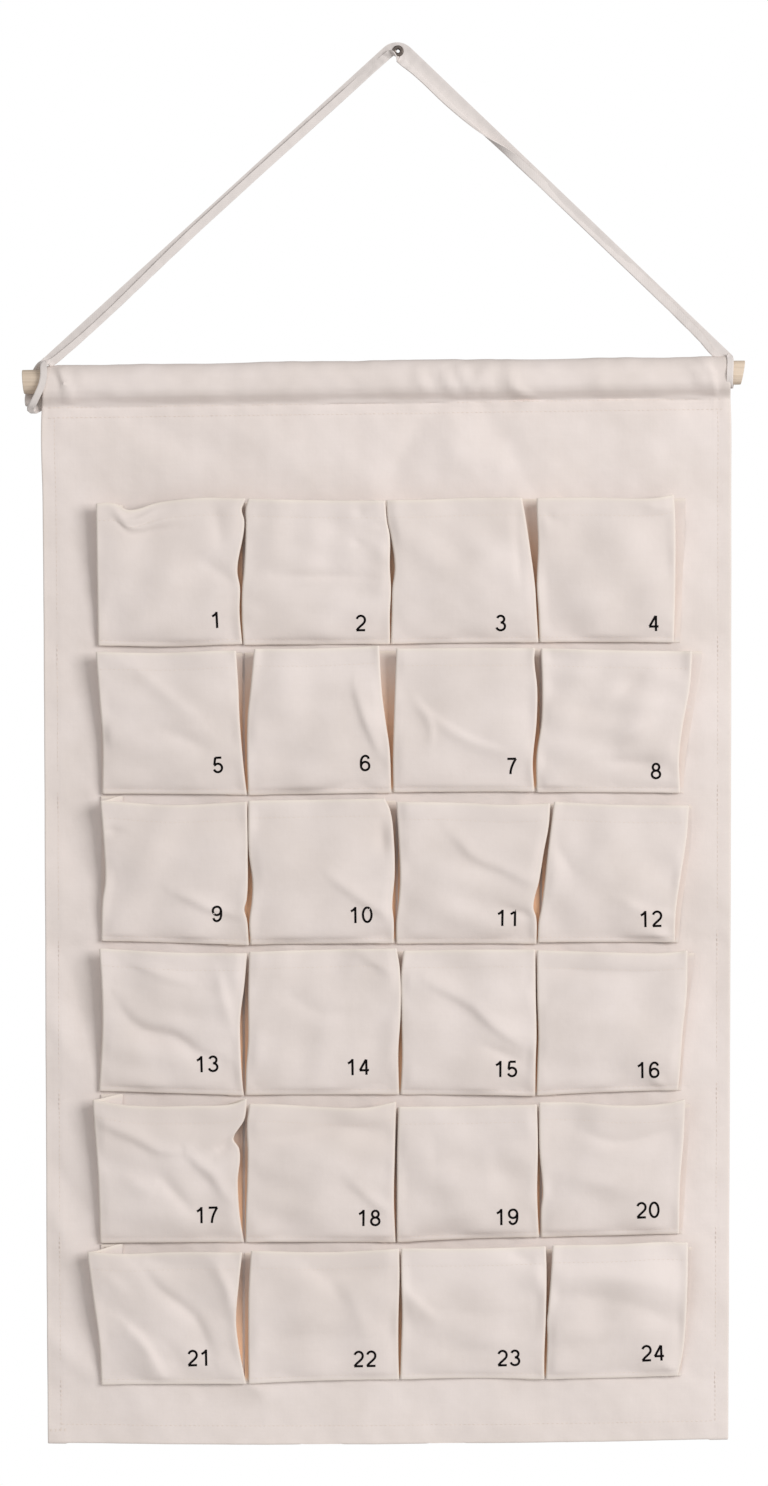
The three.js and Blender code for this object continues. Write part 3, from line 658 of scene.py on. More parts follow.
# Each pocket's face, in millimetres. "left" and "right": (share of the height, how far that side
# lies right of its column's edge). "mouth" and "foot": (share of the width, height over the row's
# own line). "folds": (height, width, places as shares of the width and height), as folds() takes.
POCKETS = {
    1: dict(
        left=[(1, -0.9), (0.5, -0.1), (0, 0.7)],
        right=[(1, 1.2), (0.93, -1.5), (0.85, 0.4), (0.5, -4.7), (0.39, -2.8), (0.22, -3.1), (0, -1.2)],
        mouth=[(0, 0.3), (0.12, 0.1), (0.21, -4.8), (0.42, 0.4), (0.7, 3.3), (1, 2.5)],
        foot=[(0, 2.5), (0.5, 0.8), (1, 2.2)],
        folds=[(1.3, (1.6, 3.5), [(0.1, 0.98), (0.2, 0.93), (0.42, 0.95)]),
               (0.9, (1.4, 3), [(0.13, 0.93), (0.24, 0.87), (0.5, 0.875)]),
               (-0.9, 2.2, [(0.12, 0.89), (0.27, 0.83), (0.62, 0.815)]),
               (-1.1, 6, [(0.78, 0.95), (0.82, 0.86), (0.84, 0.66)]),
               (-1.2, 6, [(0.71, 0.58), (0.81, 0.51), (0.95, 0.42)])]),
    2: dict(
        left=[(1, 2.8), (0.93, 1.2), (0.85, 1.5), (0.5, -0.1), (0.39, -1.2), (0.22, -1.5), (0, -0.4)],
        right=[(1, -8.4), (0.86, -7.1), (0.76, -5.1), (0.53, -5), (0.39, -4.2), (0.2, -5), (0, -4.8)],
        mouth=[(0, 2.3), (0.5, 0.5), (1, -0.4)],
        foot=[(0, 1.6), (0.5, 1), (1, 0.8)],
        folds=[(-0.9, (4, 2), [(0.2, 0.47), (0.5, 0.47), (0.88, 0.46)]),
               (-0.8, 1.8, [(0.86, 0.835), (0.97, 0.83)]),
               (-0.7, 2.0, [(0.7, 0.72), (0.78, 0.7)]),
               (-0.8, 5, [(0.74, 0.97), (0.77, 0.88)]),
               (0.6, 6, [(0.8, 0.75), (0.95, 0.6)])]),
    3: dict(
        left=[(1, -7.6), (0.86, -6.6), (0.76, -4.4), (0.53, -1.5), (0.39, -3.2), (0.2, -3.7), (0, -4.3)],
        right=[(1, -13.7), (0.9, -11.7), (0.68, -8.2), (0.39, -4.2), (0.22, -3.1), (0, -1.7)],
        mouth=[(0, -0.1), (0.3, 0), (0.6, 0.7), (1, 0.5)],
        foot=[(0, 0.8), (1, 0.6)],
        folds=[(-0.6, 3, [(0.83, 0.93), (0.84, 0.65), (0.87, 0.35)]),
               (0.5, 8, [(0.2, 0.6), (0.5, 0.5), (0.8, 0.62)])]),
    4: dict(
        left=[(1, -3.1), (0.9, -2.9), (0.68, -2), (0.39, -2.9), (0.22, -1.8), (0, -0.9)],
        right=[(1, -7.5), (0.9, -6.7), (0.4, -6.4), (0, -7.5)],
        mouth=[(0, 0), (0.4, -0.2), (0.75, -1.3), (0.87, -1.1), (1, 1.1)],
        foot=[(0, 0.7), (1, -0.8)],
        folds=[(-0.7, 4, [(0.03, 0.95), (0.07, 0.85), (0.2, 0.84)]),
               (0.8, (2, 5), [(0.72, 0.97), (0.86, 0.93), (0.97, 0.97)]),
               (-0.5, 3, [(0.86, 0.12), (0.95, 0.08)])]),
    5: dict(
        left=[(1, -0.9), (0.69, 1.5), (0.39, 3.9), (0, 3.9)],
        right=[(1, -5.7), (0.76, -4), (0.54, -3.1), (0.3, -1.2), (0.08, 1.2), (0, 2.3)],
        mouth=[(0, 1.5), (0.5, 0.1), (0.9, 1.2), (1, 1)],
        foot=[(0, 3.3), (1, 1.1)],
        folds=[(1.3, (5, 9), [(0.25, 0.9), (0.5, 0.68), (0.72, 0.49)]),
               (-1.1, 6, [(0.45, 0.45), (0.62, 0.38), (0.78, 0.3)])]),
    6: dict(
        left=[(1, 7.4), (0.76, 5.1), (0.54, 2.8), (0.3, 2.3), (0.08, 2.9), (0, 3.2)],
        right=[(1, -12.8), (0.69, -10.8), (0.49, -8.1), (0.3, -5.2), (0, -4)],
        mouth=[(0, 2.1), (0.5, 1.8), (1, 3.1)],
        foot=[(0, 0.8), (1, 1.1)],
        folds=[(1.4, (6, 2.2), [(0.72, 0.75), (0.8, 0.48), (0.9, 0.25)]),
               (0.5, 9, [(0.15, 0.3), (0.5, 0.5)])]),
    7: dict(
        left=[(1, -0.4), (0.69, -1.5), (0.38, -2.5), (0.24, -2.8), (0, -2.5)],
        right=[(1, -4.2), (0.93, -4.7), (0.72, -2.6), (0.48, -3.1), (0.2, -5.8), (0, -4.7)],
        mouth=[(0, 1.1), (0.5, 0.7), (1, 0.1)],
        foot=[(0, 1.6), (1, 0.7)],
        folds=[(0.9, (1.6, 4), [(0.13, 0.65), (0.24, 0.46), (0.24, 0.33)]),
               (1.0, (1.8, 5), [(0.18, 0.58), (0.35, 0.45), (0.53, 0.35), (0.74, 0.28)])]),
    8: dict(
        left=[(1, 0.1), (0.72, 1), (0.5, 0.5), (0.25, -3.1), (0, -3.1)],
        right=[(1, 5.9), (0.76, 4.3), (0.46, -1.2), (0.24, -3.6), (0, -2.8)],
        mouth=[(0, -0.3), (0.5, -2.3), (1, -3.8)],
        foot=[(0, 0.2), (1, -1.6)],
        folds=[(-0.9, 5, [(0.72, 0.85), (0.55, 0.69), (0.42, 0.6)]),
               (0.9, (7, 4), [(0.75, 0.5), (0.41, 0.32), (0.1, 0.13)]),
               (-0.8, 4, [(0.45, 0.22), (0.61, 0.21), (0.8, 0.21)])]),
    9: dict(
        left=[(1, 2.3), (0.71, 4.7), (0.42, 5.8), (0.29, 3.9), (0, 3.1)],
        right=[(1, 2.3), (0.64, 2.8), (0.31, 2), (0.25, 0.4), (0.17, 2.4), (0, 3.7)],
        mouth=[(0, 2.4), (0.5, -1.5), (1, 0.1)],
        foot=[(0, 3), (1, -1.6)],
        folds=[(-1.0, 2.2, [(0.02, 0.79), (0.17, 0.79)]),
               (1.2, (5, 2.5), [(0.5, 0.38), (0.63, 0.32), (0.75, 0.26), (0.99, 0.2)]),
               (0.5, 8, [(0.3, 0.7), (0.7, 0.6)])]),
    10: dict(
        left=[(1, 3.2), (0.64, 3.7), (0.44, 6.3), (0.31, 5.9), (0.16, 4), (0, 4.8)],
        right=[(1, -8.4), (0.93, -5), (0.7, -2), (0.47, -1.5), (0.25, -3.2), (0.15, -2.1), (0, -2.1)],
        mouth=[(0, 0.9), (0.5, 1), (1, 1.2)],
        foot=[(0, -1.2), (1, -1.7)],
        folds=[(1.1, (5, 2.5), [(0.55, 0.48), (0.63, 0.41), (0.79, 0.29), (0.97, 0.17)]),
               (-1.0, 5, [(0.92, 0.93), (0.9, 0.75), (0.93, 0.6)])]),
    11: dict(
        left=[(1, -0.4), (0.85, 0.7), (0.62, 2), (0.42, 2.3), (0.28, 1.2), (0.15, -0.4), (0, -0.4)],
        right=[(1, 6.9), (0.85, 5.8), (0.65, 2.1), (0.46, -1), (0.25, -5.3), (0.19, -3.4), (0, -3.1)],
        mouth=[(0, -1.3), (0.45, -2.8), (0.67, -4.4), (1, -3.9)],
        foot=[(0, -2), (1, -3.4)],
        folds=[(1.2, (6, 3), [(0.35, 0.82), (0.44, 0.73), (0.53, 0.63), (0.72, 0.55), (0.97, 0.42)]),
               (-1.2, 3.5, [(0.72, 0.26), (0.86, 0.22), (0.98, 0.18)])]),
    12: dict(
        left=[(1, 9.5), (0.85, 7.7), (0.65, 5.2), (0.46, 3.2), (0.23, 0.1), (0.15, -1.5), (0, -2.3)],
        right=[(1, 3.6), (0.78, 2), (0.46, -2.8), (0.23, -5.9), (0, -6.7)],
        mouth=[(0, -2.9), (0.45, -5.5), (1, -6.8)],
        foot=[(0, -2.3), (1, -3.6)],
        folds=[(-0.9, 5, [(0.1, 0.72), (0.15, 0.62), (0.22, 0.5)]),
               (1.0, (3, 6), [(0.55, 0.32), (0.73, 0.22), (0.95, 0.19)]),
               (0.8, 4, [(0.76, 0.07), (0.92, 0.01)])]),
    13: dict(
        left=[(1, 1.5), (0.78, 3.1), (0.46, 3.9), (0, 1.5)],
        right=[(1, 2.3), (0.78, 0.4), (0.55, -2.5), (0.36, -2.5), (0.08, -0.9), (0, 0.1)],
        mouth=[(0, 4), (0.5, 0.4), (1, -0.9)],
        foot=[(0, 4), (1, -0.8)],
        folds=[(-1.9, (3.5, 8), [(0.13, 0.65), (0.2, 0.53), (0.31, 0.45), (0.54, 0.4), (0.69, 0.29),
                                 (0.84, 0.25)]),
               (0.9, (6, 3), [(0.2, 0.93), (0.57, 0.8), (0.68, 0.78)]),
               (1.2, (3, 6), [(0.82, 0.88), (0.86, 0.7), (0.92, 0.48)])]),
    14: dict(
        left=[(1, 3.9), (0.7, 3.2), (0.38, 3.2), (0.16, 1.6), (0, 1.2)],
        right=[(1, 0.1), (0.86, 2.3), (0.55, 2.8), (0.3, 1.2), (0, 1.7)],
        mouth=[(0, 0.1), (0.5, 1), (1, 1.2)],
        foot=[(0, -0.4), (1, -1.5)],
        folds=[(-1.1, 7, [(0.25, 0.72), (0.5, 0.57), (0.72, 0.55)]),
               (0.9, (6, 3), [(0.75, 0.98), (0.85, 0.92), (0.97, 0.83)])]),
    15: dict(
        left=[(1, 4.8), (0.84, 3.2), (0.52, 3.6), (0.24, 3.9), (0, 2.8)],
        right=[(1, -4), (0.7, -3.7), (0.4, -3.1), (0.24, -3.7), (0, -4)],
        mouth=[(0, -0.5), (0.5, -0.4), (1, -0.9)],
        foot=[(0, -1.5), (1, -3.9)],
        folds=[(1.4, (7, 2.8), [(0.2, 0.8), (0.38, 0.7), (0.52, 0.62), (0.67, 0.48), (0.88, 0.33)]),
               (-0.9, 3, [(0.6, 0.34), (0.72, 0.29), (0.85, 0.24)]),
               (-0.8, 5, [(0.93, 0.95), (0.9, 0.75)])]),
    16: dict(
        left=[(1, -2.8), (0.7, -2.6), (0.4, -1.7), (0.24, -2.3), (0, -3.1)],
        right=[(1, 2.5), (0.7, 2), (0.4, -1.2), (0.16, -2.8), (0, -4.3)],
        mouth=[(0, -1.5), (0.4, -3.2), (0.83, -4.6), (1, -3.2)],
        foot=[(0, -3.6), (0.5, -1.9), (1, -1)],
        folds=[(-0.9, 5, [(0.03, 0.9), (0.41, 0.86), (0.95, 0.88)]),
               (0.8, 3, [(0.75, 0.12), (0.87, 0.01)])]),
    17: dict(
        left=[(1, -3.3), (0.78, -1.7), (0.46, 0.7), (0, 2.3)],
        right=[(1, 2.3), (0.86, 0.4), (0.72, -7.5), (0.66, -3.6), (0.42, -4.4), (0.2, -3.1), (0, 0.1)],
        mouth=[(0, 3.3), (0.2, -0.9), (0.65, -2.3), (0.93, -0.7), (1, 2.6)],
        foot=[(0, -2), (1, -2.8)],
        folds=[(1.7, (7, 3), [(0.01, 0.86), (0.27, 0.77), (0.43, 0.68), (0.6, 0.67)]),
               (1.7, (6, 3), [(0.62, 0.66), (0.69, 0.58), (0.78, 0.5), (0.88, 0.33)]),
               (-1.4, 5, [(0.42, 0.5), (0.5, 0.4), (0.65, 0.22)]),
               (-1.8, (3, 5), [(0.8, 0.66), (0.9, 0.72), (1.0, 0.71)]),
               (0.9, 6, [(0.15, 0.5), (0.4, 0.35)])]),
    18: dict(
        left=[(1, 3.9), (0.86, 2.3), (0.65, 2.8), (0.4, 2.3), (0.2, 1.5), (0, 1.2)],
        right=[(1, -0.4), (0.7, -1.2), (0.29, -2), (0, -0.9)],
        mouth=[(0, -1.3), (0.2, -2), (0.5, -4.3), (0.8, -5.1), (1, -1.2)],
        foot=[(0, -2.8), (1, -4.3)],
        folds=[(-1.3, 6, [(0.03, 0.78), (0.3, 0.77), (0.64, 0.86), (0.98, 0.8)]),
               (1.2, (6, 3), [(0.68, 0.48), (0.79, 0.36), (0.88, 0.27), (0.98, 0.21)])]),
    19: dict(
        left=[(1, 1.2), (0.7, 0.4), (0.29, 0.1), (0, 0.1)],
        right=[(1, -2.8), (0.7, -2.1), (0.32, -2.6), (0, -1.4)],
        mouth=[(0, -4.9), (0.5, -5), (1, -4.5)],
        foot=[(0, -4.3), (0.5, -2.6), (1, -1.9)],
        folds=[(-0.5, 6, [(0.25, 0.8), (0.28, 0.4)]),
               (0.5, 7, [(0.6, 0.75), (0.65, 0.35)])]),
    20: dict(
        left=[(1, -1.4), (0.65, -1), (0.32, 1.3), (0.2, 0.1), (0, 0.1)],
        right=[(1, 0.9), (0.7, -0.4), (0.4, -2.8), (0, -3.6)],
        mouth=[(0, -3), (0.25, -3.4), (0.55, -6), (0.85, -5.2), (1, -2.3)],
        foot=[(0, -2), (0.5, -1.5), (1, -0.7)],
        folds=[(-1.2, 5, [(0.25, 0.8), (0.54, 0.72), (0.95, 0.82)]),
               (0.7, 7, [(0.2, 0.45), (0.6, 0.35)])]),
    21: dict(
        left=[(1, -7.2), (0.68, -3.3), (0.31, 1.5), (0, 3.1)],
        right=[(1, -1.2), (0.77, -3.6), (0.48, -5.6), (0.28, -3.6), (0, 1.6)],
        mouth=[(0, 1.7), (0.25, -0.1), (0.55, 0.6), (1, -0.1)],
        foot=[(0, -0.3), (1, -1.1)],
        folds=[(-2.0, (4, 8), [(0.28, 0.92), (0.42, 0.73), (0.53, 0.63), (0.66, 0.51), (0.78, 0.22)]),
               (1.6, (3, 7), [(0.14, 0.5), (0.31, 0.31), (0.45, 0.04)]),
               (1.5, (3, 5), [(0.8, 0.92), (0.9, 0.7), (0.96, 0.46)]),
               (0.9, 6, [(0.05, 0.85), (0.2, 0.7)]),
               (-1.4, 9, [(0.3, 0.96), (0.6, 0.9), (0.85, 0.93)]),
               (-1.2, 8, [(0.2, 0.45), (0.45, 0.33), (0.6, 0.1)])]),
    22: dict(
        left=[(1, 5.1), (0.7, 3.5), (0.35, 3.2), (0, 3.5)],
        right=[(1, 1.7), (0.8, 2), (0.45, 1.2), (0.2, 1.2), (0, 1.7)],
        mouth=[(0, 1.1), (0.5, -0.9), (1, 1)],
        foot=[(0, -1), (0.5, 0.4), (1, 0.7)],
        folds=[(-0.9, 6, [(0.38, 0.92), (0.56, 0.77), (0.65, 0.6)]),
               (0.8, 7, [(0.68, 0.72), (0.82, 0.3)]),
               (-1.0, 8, [(0.45, 0.9), (0.62, 0.82), (0.95, 0.86)]),
               (-0.9, 10, [(0.05, 0.3), (0.5, 0.36), (0.95, 0.3)])]),
    23: dict(
        left=[(1, 3.1), (0.8, 3.2), (0.5, 3.9), (0.22, 3.2), (0, 2.6)],
        right=[(1, 3.7), (0.83, 4.2), (0.46, 3.7), (0.17, 2.6), (0, 2.6)],
        mouth=[(0, 1.2), (0.5, 0.5), (1, 1.4)],
        foot=[(0, 0.7), (0.5, 0.9), (1, -0.6)],
        folds=[(1.0, (3, 6), [(0.03, 0.7), (0.12, 0.6), (0.26, 0.47)]),
               (-1.1, 9, [(0.1, 0.58), (0.5, 0.5), (0.95, 0.52)]),
               (-0.8, 8, [(0.3, 0.22), (0.8, 0.2)]),
               (-0.9, 5, [(0.78, 0.97), (0.96, 0.88)])]),
    24: dict(
        left=[(1, 8.5), (0.83, 7.7), (0.5, 5.2), (0.43, 4.5), (0.32, 4.8), (0, 3.7)],
        right=[(1, 2.8), (0.7, 2.5), (0.2, -0.4), (0, -4.3)],
        mouth=[(0, 2), (0.5, 2.2), (0.8, 3.4), (1, 2.8)],
        foot=[(0, -0.6), (0.5, -0.4), (1, 0.7)],
        folds=[(0.8, 3, [(0.84, 0.09), (0.95, 0.02)]),
               (-0.7, 2.5, [(0.97, 0.45), (0.965, 0.05)]),
               (-1.3, 8, [(0.05, 0.62), (0.4, 0.6), (0.75, 0.5), (0.97, 0.36)]),
               (1.2, 9, [(0.2, 0.78), (0.55, 0.74), (0.9, 0.66)]),
               (-0.9, 8, [(0.05, 0.25), (0.6, 0.28)])]),
}

# The right-hand pockets' bellows show beside the face: (share of the height, right of the edge)
OUTER_SEAMS = {
    4: [(0.9, 1.2), (0.4, -1.2), (0, -2.8)],
    8: [(0.95, 13), (0.61, 7.5), (0.24, 1.2), (0, -0.5)],
    12: [(1, 5.9), (0.7, 4.3), (0.23, -2), (0, -4)],
    16: [(0.95, 7.5), (0.7, 4.3), (0.24, -0.4), (0, -2)],
    20: [(0.9, 4.3), (0, -1.2)],
    24: [(1, 5.5), (0.5, 2.5), (0, -2)],
}

# How far the bellows' back layer stands over the mouth where the face sags below it
PLEAT_RISE = {9: 5.5, 17: 7.0, 21: 7.0}

# The stitched box that holds such a pleat: left, right over the column's edge, low, high over the
# mouth's line
PLEAT_BOXES = {9: (10.2, 17.6, 1.0, 4.6), 17: (5.4, 17.8, 0.9, 6.0), 21: (5.0, 17.6, 0.9, 6.0)}

# Painted shade under a mouth, for how the curving cloth there takes the light (painted light where below
# zero): at the left, middle and right
MOUTH_PAINTED_SHADES = {
    1: (0.4, 0.3, 0.6), 3: (0.2, 0.4, 0.8), 4: (0.6, 0.1, 0.5), 9: (0.0, 0.6, 0.8),
    10: (0.0, 0.0, 1.0), 11: (0.0, 0.3, 0.5), 12: (0.4, 0.0, 0.2), 13: (-0.5, -0.1, 0.0),
    17: (0.6, 0.8, 0.8), 18: (0.7, 1.0, 1.0), 20: (-0.2, 0.3, 0.3), 21: (0.3, 0.2, 0.4),
    22: (0.3, 0.7, 0.5), 23: (-0.7, -0.7, -0.7), 24: (-0.5, -0.9, -0.7),
}

# Each number's middle: right of its column's left edge and over its foot line, with its tilt
NUMBER_PLACES = {
    1: (86.8, 19.4, 3.0), 2: (85.4, 15.8, 0.5), 3: (76.0, 14.5, 0.5), 4: (82.5, 13.0, 0.3),
    5: (88.2, 22.6, 1.0), 6: (88.4, 22.6, 0.8), 7: (84.0, 19.0, 0.4), 8: (84.0, 14.0, 0.0),
    9: (87.5, 20.9, 1.2), 10: (85.4, 18.8, 0.8), 11: (81.1, 15.2, -1.0), 12: (80.3, 13.1, 0.8),
    13: (80.2, 22.0, 1.5), 14: (83.3, 18.4, 1.0), 15: (79.6, 15.5, -0.5), 16: (78.1, 13.4, 0.6),
    17: (80.2, 16.8, 0.8), 18: (91.3, 13.1, -0.6), 19: (80.3, 12.5, 0.4), 20: (78.1, 16.2, 1.2),
    21: (74.4, 17.6, 1.0), 22: (88.4, 15.3, 0.4), 23: (81.8, 14.6, 0.4), 24: (81.8, 16.9, 2.0),
}

PocketPlace = namedtuple("PocketPlace", "row column left right mouth foot height")


def pocket_place(number):
    """A pocket's row and column, its column's two edges, its mouth's and foot's lines, its height."""
    row, column = divmod(number - 1, COLUMNS)
    mouth = FIRST_MOUTH - row * ROW_PITCH
    height = ROW_HEIGHTS[row]
    return PocketPlace(
        row, column, COLUMN_EDGES[column], COLUMN_EDGES[column + 1], mouth, mouth - height, height)


def face_sides(number, h, cloth):
    """The middle of the cloth at the face's left and right folds, across, at each height."""
    place, shape = pocket_place(number), POCKETS[number]
    left = place.left + through(shape["left"], h) + cloth / 2
    right = place.right + through(shape["right"], h) - cloth / 2
    return left, right


def face_lines(number, s):
    """The foot's and the mouth's heights at a share of the face's width."""
    place, shape = pocket_place(number), POCKETS[number]
    return place.foot + through(shape["foot"], s), place.mouth + through(shape["mouth"], s)


def face_depth(number, x, s, h, mouth_depth):
    """How far the face stands out. x is across from the column's edge, s the share of the face."""
    place = pocket_place(number)
    z = h * place.height
    hem = place.height - MOUTH_HEM
    arch = 4 * s * (1 - s)
    tuck = 0.5 * arch * mound(z, 5.0)
    chance = random.Random(100 + number)
    belly, lean, phase = chance.uniform(0.6, 2.4), chance.uniform(-0.9, 0.9), chance.uniform(0, 6)
    depth = FOOT_DEPTH + (mouth_depth - FOOT_DEPTH) * np.clip(h, 0, 1.1) ** 0.85
    depth = depth + belly * arch**0.8 * np.sin(np.pi * np.clip(h, 0, 1)) ** 0.8
    depth += (lean * np.sin(2 * np.pi * s + phase) - 0.8 * arch) * h**2
    depth -= tuck
    depth -= 0.18 * mound(z - FOOT_STITCH, 1.2)
    depth += 0.12 * smoothstep((z - (hem - 1.0)) / 1.6)
    depth -= 0.1 * mound(z - (hem + 0.6), 1.0)

    width = place.right - place.left
    creases = [
        (rise, reach, [(a * width, b * place.height) for a, b in points])
        for rise, reach, points in POCKETS[number]["folds"]
    ]
    inside = smoothstep(np.minimum(s, 1 - s) * 14) * smoothstep(z / 6.0)
    depth += 1.7 * folds(x, z, creases) * (0.35 + 0.65 * inside)
    uneven = 1.5 * ripples(x, z, number, 60) + 0.75 * ripples(x * 0.7, z, 50 + number, 25)
    nearest = FOOT_DEPTH - 0.35 - tuck
    return np.maximum(depth + uneven * inside, nearest)


def across_stations():
    """The lines of a pocket's cloth from seam to seam: (part, place). Bellows run from -1 at the
    seam over 0 at the inner fold to 1 at the face's fold; "left" and "right" are millimetres from
    the face's folds and "middle" a share of what lies between."""
    bellows = [-1, -0.8, -0.5, -0.25, -0.08, -0.02, 0.02, 0.1, 0.25, 0.45, 0.64, 0.8, 0.92, 0.975, 1.0]
    close = [0.18, 0.6, 1.2]
    return (
        [("left bellows", b) for b in bellows]
        + [("left", c) for c in close]
        + [("middle", m) for m in np.linspace(0, 1, 52)]
        + [("right", c) for c in reversed(close)]
        + [("right bellows", b) for b in reversed(bellows)]
    )


def up_stations(height, cloth):
    """The lines of a pocket's cloth from the raw edge inside its foot, up the outside and down into
    its mouth: (share of the height, rise past it, how far inwards)."""
    turn = cloth * HEM_TURN
    hem = height - MOUTH_HEM
    rows = [(z / height, 0, 2 * turn) for z in (5.0, 3.0, 1.2)]
    rows += [
        (0, -turn * math.sin(a), turn * (1 + math.cos(a))) for a in np.radians([35, 70, 110, 145])
    ]
    z = [0.0, 0.7, 1.5, 2.2, 2.7, 3.0, 3.3, 3.9, 4.8, 6.2]
    z += list(np.linspace(8, hem - 2.5, 38))
    z += [hem - 1.2, hem - 0.5, hem, hem + 0.4, hem + 0.8, hem + 1.3, hem + 2.2]
    z += list(np.linspace(hem + 4, height - 1.5, 5)) + [height - 0.7, height]
    rows += [(value / height, 0, 0) for value in z]
    rows += [(1, past, inwards) for past, inwards in turned_edge((30, 60, 90, 120, 150), turn)]
    rows += [(1 - d / height, 0, 2 * turn) for d in (0.0, 2.5, 6.0, MOUTH_HEM - 1.5)]
    return rows


def bellows_line(number, part, value, h, sides, mouth_depth):
    """Across, up and out along one line of a pocket's left or right bellows."""
    place, shape = pocket_place(number), POCKETS[number]
    if part.startswith("left"):
        sign, fold, s, near_fold = 1, sides[0], 0.0, 0.14
        seam = place.left + SEAM_INSET + (2.2 if place.column == 0 else 0.0) + 0 * h
    else:
        sign, fold, s, near_fold = -1, sides[1], 1.0, 0.86
        seam = place.right - SEAM_INSET + 0 * h
        if number in OUTER_SEAMS:
            seam = place.right + through(OUTER_SEAMS[number], h) - 0.2
    rise = min(0.0, float(through(shape["mouth"], near_fold))) - 0.6
    if part.startswith("left"):
        rise = PLEAT_RISE.get(number, rise)
    reach = BELLOWS - 5.0 * (1 - h)
    if value < 0:
        x = seam + sign * reach * (1 + value)
        out = SEAT + 0.35 * np.exp(value * 12.0) + 0 * h
    else:
        inner = seam + sign * reach
        begin = SEAT + 0.45 + 0.9 * np.clip(h, 0, 1)
        end = face_depth(number, fold - place.left, s, h, mouth_depth) - 0.55
        x = inner + (fold - inner) * value
        out = begin + (end - begin) * value + 0.5 * h * math.sin(math.pi * value)
    low, high = face_lines(number, s)
    share = smoothstep(max(value, 0.0))
    high = (place.mouth + rise) * (1 - share) + high * share
    return np.stack([x, low + (high - low) * h, out])


def face_line(number, part, value, h, sides, mouth_depth):
    """Across, up and out along one line of a pocket's face."""
    left, right = sides
    width = right - left
    if part == "left":
        x = left + value
    elif part == "right":
        x = right - value
    else:
        x = left + 2.0 + (width - 4.0) * value
    s = (x - left) / width
    out = face_depth(number, x - pocket_place(number).left, s, h, mouth_depth)
    out = out - 0.55 * mound(np.minimum(x - left, right - x), 0.35)
    low, high = face_lines(number, s)
    return np.stack([x, low + (high - low) * h, out])


def pocket_surface(number, stations, h, cloth, mouth_depth):
    """Across, up and out for each height and station of a pocket's cloth."""
    sides = face_sides(number, h, cloth)
    lines = [
        (bellows_line if part.endswith("bellows") else face_line)(
            number, part, value, h, sides, mouth_depth)
        for part, value in stations
    ]
    return np.stack(lines, -1)


def pocket_masks(number, stations, h, at, corners, is_face):
    """Where a pocket's cloth gets painted highlights at its edges, painted warm shade deep between two
    pockets, and painted shade or light under its mouth.
    """
    place = pocket_place(number)
    to_corner = np.minimum(*(np.abs(at - at[k]) for k in corners))
    # Painted highlight along the mouth, the foot and the face's side folds
    near_mouth = mound((1 - h) * place.height, 1.4)
    near_foot = 0.7 * mound(h * place.height, 1.2)
    beside = 0.75 * mound(to_corner, 1.5)
    edge = 0.5 * np.maximum(np.maximum(near_mouth, near_foot)[:, None], beside[None, :])

    # Painted shade: the bellows deep between two pockets are tinted warm where they lie in shade; the outer
    # bellows that show get only a little
    outer = {0: "left bellows", COLUMNS - 1: "right bellows"}.get(place.column)
    shown = np.array([part == outer for part, _ in stations])
    deep = np.where(is_face, 0.0, np.where(shown, 0.1, 1.0)) * smoothstep(to_corner)
    deep = deep[None, :] * (smoothstep(1.15 - h) * smoothstep(h * place.height / 5.0))[:, None]

    # Painted shade and painted light in a band under the mouth, fading in below it
    share = np.clip((at - at[corners[0]]) / (at[corners[1]] - at[corners[0]]), 0, 1)
    painted_mouth_shade = np.interp(share, (0.1, 0.5, 0.9), MOUTH_PAINTED_SHADES.get(number, (0, 0, 0))) * is_face
    begin = 0.56 + 0.06 * np.sin(7 * share + number)
    painted_mouth_shade = painted_mouth_shade[None, :] * smoothstep((h[:, None] - begin) / 0.24)
    return {
        "edge": edge, "recess": deep,
        "shaded": np.maximum(painted_mouth_shade, 0), "painted_light": np.maximum(-painted_mouth_shade, 0),
    }


def pocket_cloth(number, cloth, mouth_depth):
    """A pocket's cloth as places[row, column], how it lies flat, its masks and its flat size."""
    stations = across_stations()
    rows = up_stations(pocket_place(number).height, cloth)
    h, rise, inward = (np.array(values, float) for values in zip(*rows))
    u, v, out = pocket_surface(number, stations, h, cloth, mouth_depth)
    a_little = 0.004
    u2, v2, out2 = pocket_surface(number, stations, h + a_little, cloth, mouth_depth)
    up = np.stack([u2 - u, out - out2, v2 - v], -1)
    up /= np.linalg.norm(up, axis=-1, keepdims=True)
    places = on_cloth(u, drape(u, v) - out, v)
    inside = np.cross(up, np.gradient(places, axis=1))
    inside /= np.maximum(np.linalg.norm(inside, axis=-1, keepdims=True), 1e-9)

    # The folds at the mouth and foot are tighter where the bellows leave no room for them
    at = lengths_along(places[len(rows) * 3 // 4])
    is_face = np.array([not part.endswith("bellows") for part, _ in stations])
    corners = np.flatnonzero(is_face)[[0, -1]]
    to_corner = np.minimum(*(np.abs(at - at[k]) for k in corners))
    value = np.array([b if part.endswith("bellows") else 9.0 for part, b in stations], float)
    room_up = np.where(value < 0.3, 0.35, 0.35 + 0.65 * smoothstep(to_corner / 3.0))
    room_foot = np.where(is_face, 0.35 + 0.65 * smoothstep((to_corner - 11) / 5), 0.35)
    room = np.where(h[:, None] < 0.2, room_foot[None, :], room_up[None, :])
    places = places + up * rise[:, None, None] + inside * (inward[:, None] * room)[..., None]

    along = lengths_along(places[:, len(stations) // 2])
    flat = np.stack(np.broadcast_arrays(at[None, :], along[:, None]), -1)
    flat = flat + np.array([number * 131.0, number * 77.0])
    masks = pocket_masks(number, stations, h, at, corners, is_face)
    return as_seen(places), flat, masks, (at[-1] * MM, along[-1] * MM)


